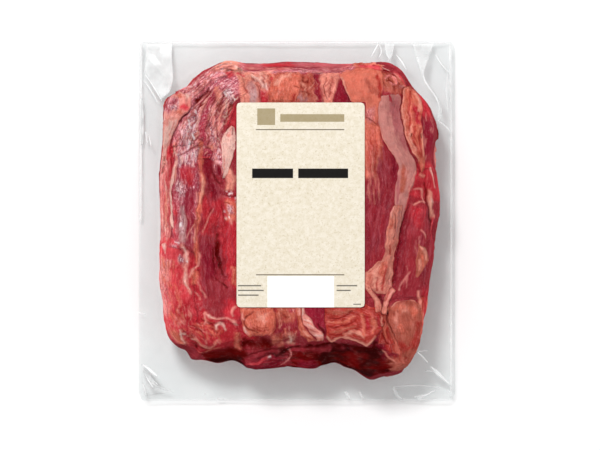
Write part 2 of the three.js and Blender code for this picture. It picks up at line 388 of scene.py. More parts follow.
# %% Names of the tissues
TISSUES = {
    # name: colour as seen, fibres, fat, how much the wet film glares on it, as a clear coat and as painted
    # glare
    "muscle": ("a03e45", 0.3, 0.0, 0.03),
    "pale_muscle": ("b05660", 0.35, 0.0, 0.05),
    "plum_muscle": ("8a303a", 0.3, 0.0, 0.03),
    # painted shade in grooves and between fibres, and a deep red tone of the streaks down the sides
    "deep": ("7c1a28", 0.2, 0.0, 0.0),
    "red": ("c43e46", 0.35, 0.05, 0.1),
    "bright": ("dc4f56", 0.35, 0.15, 0.15),
    "soft_red": ("c46066", 0.35, 0.0, 0.05),
    "ridge": ("ba4456", 0.6, 0.0, 0.3),
    "rose": ("dc7a86", 1.1, 0.1, 0.6),
    "rosy": ("ec8a86", 0.8, 0.3, 0.3),
    "mulberry": ("c65a6a", 0.8, 0.0, 0.5),
    # muscle made paler by painted glare of the wet film
    "haze": ("d2909a", 1.1, 0.1, 0.8),
    "ash": ("ca9a98", 0.4, 0.0, 0.15),
    "veiled": ("bc7a78", 0.4, 0.1, 0.1),
    # painted highlights: sparkles of the wet film
    "spark": ("f8dce0", 0.0, 0.0, 0.0),
    "blush": ("ef9c91", 0.35, 0.3, 0.2),
    "cream": ("f4c0b4", 0.35, 0.3, 0.2),
    "fat": ("da7461", 0.35, 0.8, 0.1),
    "smooth_fat": ("da7866", 0.05, 0.6, 0.0),
    "paler_fat": ("eb9c8a", 0.3, 0.6, 0.1),
    "ruddy_fat": ("bc4a44", 0.45, 0.6, 0.05),
    "amber": ("de7664", 0.5, 0.5, 0.1),
    "tan": ("be6658", 0.3, 0.5, 0.0),
    "silver": ("cb8780", 0.15, 0.25, 0.0),
    "mauve": ("b66a6c", 0.15, 0.2, 0.0),
    "sinew": ("e48e7e", 0.4, 0.4, 0.1),
    # painted shade: the dark of the clefts
    "cleft_shade": ("5e0a14", 0.0, 0.0, 0.0),
    # painted shade of the lower side
    "shade": ("46080f", 0.08, 0.05, 0.0),
    "maroon": ("6e1824", 0.2, 0.0, 0.0),
    "plum": ("963440", 0.3, 0.0, 0.03),
    # painted highlights: glints of the wet film
    "glint": ("fbeeee", 0.0, 0.0, 0.0),
}
VEIL = 0.022  # what the wet surface adds to every colour by reflecting the room


def flesh(code):
    """The colour under the wet surface, from the colour as it is seen."""
    return np.maximum(np.array(linear(code)[:3]) - VEIL, 0.002)


print(len(TISSUES), "tissues")


# %% [markdown]
# ## Laying a tissue on the slab
# A patch is the strip between a left and a right edge, each a smooth curve through a few points. Where it
# covers the slab it sets the colour, turns the grain to run along the strip, and lifts the surface.
# Noise bends the edges a little, as a knife and a cold store do.


# %% Noise for sculpting
def noise_at(points, seed=0):
    """Smooth noise from -1 to 1, at points given in cells."""
    base = np.floor(points).astype(np.int64)
    part = points - base
    fade = part**3 * (part * (part * 6 - 15) + 10)
    total = np.zeros(len(points))
    for corner in range(8):
        step = np.array([corner & 1, corner >> 1 & 1, corner >> 2 & 1])
        cell = base + step
        mixed = (cell @ np.array([73856093, 19349663, 83492791]) + seed * 40503) & 0xFFFFFFFF
        mixed = ((mixed ^ (mixed >> 15)) * 2246822519) & 0xFFFFFFFF
        mixed = ((mixed ^ (mixed >> 13)) * 3266489917) & 0xFFFFFFFF
        value = ((mixed ^ (mixed >> 16)) & 0xFFFF) / 32767.5 - 1
        total += np.prod(np.where(step, fade, 1 - fade), axis=1) * value
    return total


def smoothstep(low, high, value):
    part = np.clip((value - low) / (high - low), 0, 1)
    return part * part * (3 - 2 * part)


def wobble(places, heights):
    """How far noise bends an edge, sideways and lengthways, in millimetres."""
    spots = np.c_[places, heights]
    bends = [1.1 * noise_at(spots / 8, i) + 0.5 * noise_at(spots / 2.7, i + 4) for i in (1, 2)]
    return np.stack(bends, axis=1)


# %% Curves and strips
def curve_through(points, count=40):
    """A smooth curve through a few points, with evenly spaced ones on it."""
    points = np.array(points, float)
    if len(points) > 2:
        ends = np.vstack([2 * points[0] - points[1], points, 2 * points[-1] - points[-2]])
        fine = []
        for a, b, c, d in zip(ends, ends[1:], ends[2:], ends[3:]):
            t = np.linspace(0, 1, 12, endpoint=False)[:, None]
            bow, twist = 2 * a - 5 * b + 4 * c - d, 3 * b - a - 3 * c + d
            fine.append(0.5 * (2 * b + (c - a) * t + bow * t**2 + twist * t**3))
        points = np.vstack([*fine, points[-1:]])
    run = np.concatenate([[0], np.cumsum(np.hypot(*np.diff(points, axis=0).T))])
    wanted = np.linspace(0, run[-1], count)
    return np.stack([np.interp(wanted, run, points[:, i]) for i in (0, 1)], axis=1)


def band(line, halves, count=40):
    """The two edges of a strip round a line, with its half widths along it."""
    middle = curve_through(line, count)
    along = np.gradient(middle, axis=0)
    aside = np.stack([-along[:, 1], along[:, 0]], axis=1) / np.hypot(*along.T)[:, None]
    half = np.interp(np.linspace(0, 1, len(middle)), np.linspace(0, 1, len(halves)), halves)[:, None]
    return middle + aside * half, middle - aside * half


def strip_size(left, right):
    """How long a strip is along its middle, and how wide at its widest."""
    return np.hypot(*np.diff((left + right) / 2, axis=0).T).sum(), np.hypot(*(right - left).T).max()


def depth_inside(places, left, right):
    """How far each place is inside a strip, in millimetres; outside it is below 0."""
    outline = np.vstack([left, right[::-1]])
    start, end = outline, np.roll(outline, -1, axis=0)
    side = end - start
    length2 = np.maximum((side**2).sum(1), 1e-9)
    gap = places[:, None, :] - start[None]
    share = np.clip((gap * side).sum(2) / length2, 0, 1)
    nearest = np.sqrt((((gap - share[..., None] * side) ** 2).sum(2)).min(1))
    above = (start[:, 1] > places[:, 1:2]) != (end[:, 1] > places[:, 1:2])
    rise = np.where(np.abs(side[:, 1]) < 1e-12, 1e-12, side[:, 1])
    crossing = start[:, 0] + (places[:, 1:2] - start[:, 1]) * side[:, 0] / rise
    inside = (above & (places[:, 0:1] < crossing)).sum(1) % 2 == 1
    return np.where(inside, nearest, -nearest)


def along_and_across(places, left, right):
    """Grain coordinates of a strip: across it, and along its middle."""
    middle = (left + right) / 2
    run = np.concatenate([[0], np.cumsum(np.hypot(*np.diff(middle, axis=0).T))])
    nearest = ((places[:, None, :] - middle[None]) ** 2).sum(2).argmin(1)
    heading = np.gradient(middle, axis=0)
    heading /= np.hypot(*heading.T)[:, None]
    gap, ahead = places - middle[nearest], heading[nearest]
    return gap[:, 0] * ahead[:, 1] - gap[:, 1] * ahead[:, 0], run[nearest] + (gap * ahead).sum(1)


# %% A surface that tissues are laid on
class Surface:
    """What a mesh has at each of its points: tone, grain, traits and how far it is lifted."""

    def __init__(self, places, heights):
        self.heights = heights
        self.places = places + wobble(places, heights)
        count = len(places)
        self.tone = np.tile(flesh(TISSUES["muscle"][0]), (count, 1))
        self.traits = np.tile(TISSUES["muscle"][1:], (count, 1))
        self.grain = np.c_[places, heights]
        self.lift = np.zeros(count)

    def near(self, left, right):
        """The points that a strip may cover, and how far inside it they lie."""
        low = np.minimum(left.min(0), right.min(0)) - 4
        high = np.maximum(left.max(0), right.max(0)) + 4
        near = np.flatnonzero(((self.places > low) & (self.places < high)).all(1))
        return near, depth_inside(self.places[near], left, right)

    def comb(self, left, right, seed):
        """Turns the grain to run along a strip."""
        near, depth = self.near(left, right)
        near = near[depth > 0]
        across, along = along_and_across(self.places[near], left, right)
        self.grain[near] = np.c_[across + 90 * seed, along, self.heights[near]]

    def lay(self, tissue, left, right, rise=0.0, edge=1.5, blur=0.7, cover=1.0, broken=0.0, ends=0.0):
        """Lays a tissue on a strip. blur is how softly its colour ends, cover how much it hides, broken how
        streaky it is, and ends how far it fades out lengthways."""
        near, depth = self.near(left, right)
        if len(near) == 0:
            return
        ragged = 0.0
        if blur > 1:
            ragged = noise_at(np.c_[self.places[near], self.heights[near]] / 3.5, 8)
            ragged = ragged + 0.6 * noise_at(self.grain[near] / (1.6, 7, 3), 9)
            depth = depth + ragged * blur * 0.8
        covered = smoothstep(-blur, blur, depth) * cover
        lifted = smoothstep(-0.3 * edge, edge, depth)
        if ends:
            _, along = along_and_across(self.places[near], left, right)
            from_end = np.minimum(along, strip_size(left, right)[0] - along)
            fade = smoothstep(0, ends, from_end + 0.3 * ends * np.clip(ragged, -1, 1))
            covered, lifted = covered * fade, lifted * fade
        if broken:
            streaks = noise_at(self.grain[near] / (1.7, 9, 4), 31)
            streaks = streaks + 0.6 * noise_at(self.grain[near] / (4, 14, 6), 32)
            covered = covered * (1 - broken * smoothstep(0.15, -0.15, streaks))
        self.tone[near] += (flesh(TISSUES[tissue][0]) - self.tone[near]) * covered[:, None]
        self.traits[near] += (np.array(TISSUES[tissue][1:]) - self.traits[near]) * covered[:, None]
        self.lift[near] += rise * lifted

    def dress(self, obj):
        """Writes what the surface has into the mesh, for its material to read."""
        write_layer(obj, "tone", "FLOAT_COLOR", np.c_[self.tone, np.ones(len(self.tone))])
        write_layer(obj, "grain", "FLOAT_VECTOR", self.grain)
        write_layer(obj, "traits", "FLOAT_VECTOR", self.traits)


print("strips and surfaces are ready")

# %% [markdown]
# ## Where the tissues lie
# The list goes from what lies lowest to what lies on top: muscles first, then membranes and fat, then
# sinews, and last the clefts between them, darkened with painted shade. Each row is a tissue, its two edges,
# and how far it rises.

# %% How the grain runs: left edge and right edge of each muscle
FLOWS = [
    ([(-44, 88), (-44, 122)], [(40, 88), (40, 122)]),
    ([(-50, -60), (-44, -100)], [(26, -60), (26, -100)]),
    ([(-78, 62), (-78, 20), (-82, -24), (-82, -80)], [(-42, 62), (-42, 20), (-40, -24), (-40, -80)]),
    ([(-106, 84), (-94, 106), (-76, 124), (-50, 136)], [(-94, 76), (-80, 97), (-66, 110), (-44, 116)]),
    ([(-101, 48), (-97, 62), (-89, 79), (-78, 95), (-66, 108), (-46, 118)],
     [(-58, 48), (-57, 62), (-53, 76), (-48, 88), (-44, 96), (-38, 102)]),
    ([(-100, 58), (-100, 20), (-97, -26)], [(-77, 60), (-77, 20), (-79, -26)]),
    ([(-120, 66), (-122, 20), (-116, -26)], [(-99, 64), (-99, 20), (-99, -20)]),
    ([(-120, -16), (-122, -60), (-110, -104), (-84, -120)],
     [(-80, -24), (-80, -60), (-76, -84), (-68, -100)]),
    ([(-60, 118), (0, 117), (46, 118)], [(-60, 140), (0, 140), (46, 142)]),
    ([(44, 88), (36, 112), (46, 136)], [(66, 90), (66, 112), (66, 136)]),
    ([(46, 96), (46, 20), (48, -60)], [(66, 96), (82, 30), (70, -60)]),
    ([(90, 110), (98, 84), (98, 60), (90, 34)], [(128, 110), (130, 80), (128, 50), (126, 30)]),
    ([(90, 40), (82, 0), (77, -40), (72, -64)], [(128, 40), (124, 0), (118, -40), (110, -70)]),
    ([(66, -62), (66, -96), (80, -120)], [(112, -58), (108, -90), (96, -130)]),
    ([(-80, -98), (-40, -103), (0, -97), (30, -97)], [(-80, -130), (-40, -130), (0, -128), (30, -130)]),
    ([(24, -96), (60, -98), (78, -104)], [(24, -132), (60, -136), (96, -136)]),
]
print(len(FLOWS), "muscles")

# %% Strips given by their edges: tissue, left edge, right edge, rise, softness of its edge
EDGED = [
    # upper left: muscles that curve down from the top
    ("rose", [(-101, 50), (-98, 68), (-90, 84), (-78, 99), (-63, 110), (-40, 114)],
     [(-60, 50), (-58, 68), (-54, 82), (-50, 92), (-45, 98), (-38, 100)], 0.3, 4),
    ("rose", [(-104, 92), (-90, 110), (-74, 124), (-48, 134)],
     [(-86, 88), (-74, 102), (-62, 111), (-44, 116)], 0.8, 3),
    ("red", [(-54, 94), (-55, 80), (-57, 66)], [(-46, 96), (-45, 82), (-50, 72)], 0.2, 2),
    ("mulberry", [(-99, 53), (-98, 30), (-97, 0), (-96, -20)],
     [(-75, 57), (-75, 30), (-78, 0), (-80, -24)], 0.6, 5),
    ("bright", [(-96.5, 16), (-96, 0), (-95, -17)], [(-93, 16), (-92.7, 0), (-92.5, -17)], 0.0, 2),
    ("rosy", [(-118, 70), (-120, 30), (-120, 0), (-116, -24)],
     [(-100, 60), (-100, 30), (-100, 0), (-100, -20)], 0.5, 3),
    ("cream", [(-106.5, 92), (-107, 70), (-105.5, 52), (-104.5, 40)],
     [(-98, 82), (-99, 68), (-101.5, 54), (-102, 42)], 0.1, 2),
    ("red", [(-101.5, 64), (-101.5, 50), (-101, 30), (-101, 0)],
     [(-95.5, 64), (-97, 50), (-98, 30), (-98.5, 0)], 0.0, 2),
    ("muscle", [(-76, 60), (-76, 20), (-79, -24), (-80, -80)],
     [(-42, 60), (-42, 20), (-40, -24), (-40, -80)], 0.2, 4),
    ("plum_muscle", [(-73, 52), (-72.5, 42), (-70, 30), (-66, 14)],
     [(-66, 54), (-66, 42), (-63, 32), (-56, 18)], -0.5, 3),
    ("rose", [(-66, 56), (-65, 44), (-60.5, 34)], [(-58.5, 58), (-58.5, 44), (-57.5, 35)], 0.2, 2),
    ("red", [(-73, 24), (-74.5, 6), (-74, -14)], [(-68, 22), (-64, 6), (-66, -14)], 0.3, 3),
    ("red", [(-64, 20), (-63, 4), (-59, -12), (-57, -30), (-54, -56)],
     [(-40, 24), (-40, 0), (-40, -16), (-40, -30), (-40, -56)], 0.6, 3),
    ("plum", [(-76, -14), (-76, -30), (-72, -48)], [(-64, -14), (-63.5, -30), (-60, -46)], 0.3, 4),
    # lower left
    ("bright", [(-118, -8), (-122, -50), (-116, -84), (-98, -110)],
     [(-96, -14), (-84, -40), (-80, -66), (-82, -90)], 0.6, 8),
    ("rosy", [(-112, -24), (-116, -50), (-110, -80)], [(-102, -26), (-100, -50), (-98, -74)], 0.0, 6),
    ("red", [(-95, -60), (-95, -72), (-91, -84)], [(-81, -56), (-78, -70), (-80, -86)], -0.3, 5),
    ("red", [(-88, -26), (-84, -46), (-80, -64), (-84, -92)],
     [(-78, -20), (-76, -40), (-73, -64), (-73, -84)], 0.5, 4),
    ("red", [(-92, -84), (-86, -94), (-84, -110)], [(-74, -70), (-58, -80), (-52, -99)], 0.9, 3),
    ("maroon", [(-85, -94), (-83, -98), (-79, -100)], [(-76, -94), (-73, -98), (-72, -101)], -0.9, 1.5),
    # top
    ("rose", [(-48, 138), (0, 138), (50, 140)], [(-48, 115), (0, 116), (46, 117)], 0.0, 2),
    ("soft_red", [(-48, 138), (0, 138), (50, 140)], [(-44, 121), (0, 122), (44, 121)], 0.0, 5),
    ("red", [(-30, 138), (-10, 138), (2, 139)], [(-30, 121), (-10, 121), (0, 122)], 0.0, 4),
    ("rose", [(-6, 124), (8, 124.6), (20, 125)], [(-6, 120), (8, 119.4), (20, 120)], 0.0, 2),
    ("paler_fat", [(-74, 124), (-62, 136), (-42, 136)], [(-66, 117), (-56, 117), (-40, 114)], 0.9, 2),
    ("bright", [(-58, 119), (-54, 119.5), (-47, 118)], [(-58, 114), (-54, 113), (-47, 113)], 0.0, 1.5),
    ("sinew", [(-50, 122), (-46, 110), (-42, 86)], [(-24, 119), (-24, 106), (-22, 86)], 0.3, 2),
    ("paler_fat", [(-40, 119), (-34, 114), (-28, 106)], [(-20, 118), (-20, 110), (-22, 102)], 0.5, 2),
    ("red", [(-29, 105), (-29, 98), (-28, 86)], [(-24, 105), (-22.5, 98), (-22, 86)], 0.0, 1.5),
    ("fat", [(-22, 116), (-22, 102), (-21, 84)], [(0, 120), (1, 104), (-2, 84)], 0.6, 3),
    ("tan", [(0, 118), (0, 104), (-4, 84)], [(14, 118), (15, 104), (16, 84)], 0.6, 3),
    ("plum", [(13, 119), (14, 108), (16, 84)], [(18, 119), (18.5, 108), (20, 84)], -0.5, 2),
    ("sinew", [(18, 121), (18.5, 106), (22, 84)], [(34, 118), (32, 104), (29, 84)], 0.6, 2),
    ("plum_muscle", [(33.5, 112), (30, 102), (27, 84)], [(36, 112), (41, 100), (47, 84)], -0.4, 1.5),
    ("tan", [(66, 121), (67, 112), (68, 97)], [(92, 116), (88, 108), (82, 98)], 0.2, 3),
    # right
    ("amber", [(49, 88), (50, 70), (51, 54), (53, 30)], [(62, 80), (65, 69), (65, 54), (61, 30)], 0.4,
     2.5),
    ("plum_muscle", [(65, 68), (70, 58), (75, 46), (72, 26)], [(67, 68), (76, 54), (80, 42), (78, 26)],
     -0.2, 3),
    ("muscle", [(97, 106), (97, 80), (96, 45)], [(128, 106), (128, 80), (128, 45)], 0.6, 3),
    ("plum", [(97, 80), (97.5, 64), (97, 48)], [(108, 84), (108, 66), (107, 50)], 0.0, 3),
    ("red", [(94, 106), (97, 92), (97, 80)], [(112, 104), (112, 88), (103, 78)], 0.2, 3),
    ("red", [(90, 48), (88, 32), (88, 14)], [(126, 50), (126, 28), (120, 10)], 0.3, 3),
    ("muscle", [(87, 20), (80, -4), (76, -26), (73, -62)],
     [(124, 18), (122, -10), (118, -34), (112, -68)], 1.0, 4),
    ("red", [(89, 14), (88, 6), (90, -6)], [(102, 15), (101, 6), (98, -6)], 0.2, 4),
    ("plum_muscle", [(84, 8), (80, -6), (76.5, -28), (75, -50)],
     [(87, 8), (83, -8), (79.5, -28), (78, -50)], 0.0, 3),
    # lower right
    ("tan", [(68, -66), (68, -90), (70, -120)], [(103, -58), (104, -88), (96, -130)], 1.0, 4),
    ("red", [(100, -52), (100, -70), (99, -90)], [(122, -52), (118, -74), (112, -96)], 0.2, 3),
    ("plum_muscle", [(62, -90), (63, -100), (66, -110)], [(72, -86), (75, -98), (80, -110)], 0.6, 3),
    # the lower side, darkened with painted shade
    ("shade", [(14, -98), (14, -112), (30, -130)], [(62, -95), (70, -108), (84, -130)], 0.0, 4),
    ("maroon", [(34, -104), (36, -112), (42, -118)], [(46, -104), (50, -112), (58, -118)], 0.6, 4),
    ("maroon", [(58, -108), (60, -116), (62, -126)], [(72, -108), (76, -116), (80, -126)], 0.5, 4),
    ("maroon", [(-82, -98), (-78, -108), (-72, -124)], [(-40, -98), (-40, -108), (-42, -128)], 0.0, 2),
    ("shade", [(-76, -108), (-72, -112), (-66, -126)], [(-44, -104), (-43, -112), (-44, -128)], 0.0, 3),
    ("shade", [(-52, -101), (-46, -108), (-30, -111)], [(22, -96), (22, -102), (14, -105)], 0.0, 2),
    # below the label
    ("red", [(-56, -58), (-58, -76), (-54, -98)], [(-40, -60), (-42, -80), (-18, -103)], 0.2, 3),
    ("maroon", [(-43, -89), (-43, -96), (-43, -103)], [(-18, -89), (-19, -96), (-20, -101)], 0.5, 2),
    ("tan", [(-18, -60), (-17, -72), (-16, -81)], [(0, -60), (-1, -72), (-2, -81)], 0.3, 2),
    ("ridge", [(-8, -68), (-6, -73)], [(-1, -66), (-1, -76)], -0.3, 1.5),
    ("plum", [(-18, -80), (-16, -84), (-13, -90)], [(-2, -79), (-4, -84), (-7, -90)], 0.0, 1.5),
    ("amber", [(-20, -88), (-20, -94), (-19, -99)], [(-12, -85), (-10, -92), (-10, -98)], 0.7, 2),
    ("paler_fat", [(-8, -86), (-8, -91), (-7, -97)], [(-1.5, -86), (-1.4, -92), (-2, -97)], 0.7, 2),
    ("plum", [(6, -62), (9, -74), (18, -90)], [(25, -60), (25, -76), (25, -94)], -0.2, 2),
    ("plum_muscle", [(-48, -113), (-30, -109), (-8, -105)], [(-48, -122), (-30, -124), (-8, -124)], 0.8,
     3),
    # maroon and shade here: painted shade on the lower side
    ("maroon", [(-8, -102), (8, -102), (26, -103)], [(-10, -124), (8, -124), (26, -118)], 0.2, 2),
    ("plum_muscle", [(-2, -109), (10, -110), (18, -112)], [(-2, -120), (10, -120), (18, -118)], 0.8, 3),
    ("shade", [(8, -99), (12, -104), (20, -112)], [(30, -99), (28, -108), (26, -120)], 0.0, 4),
]
print(len(EDGED), "strips between edges")

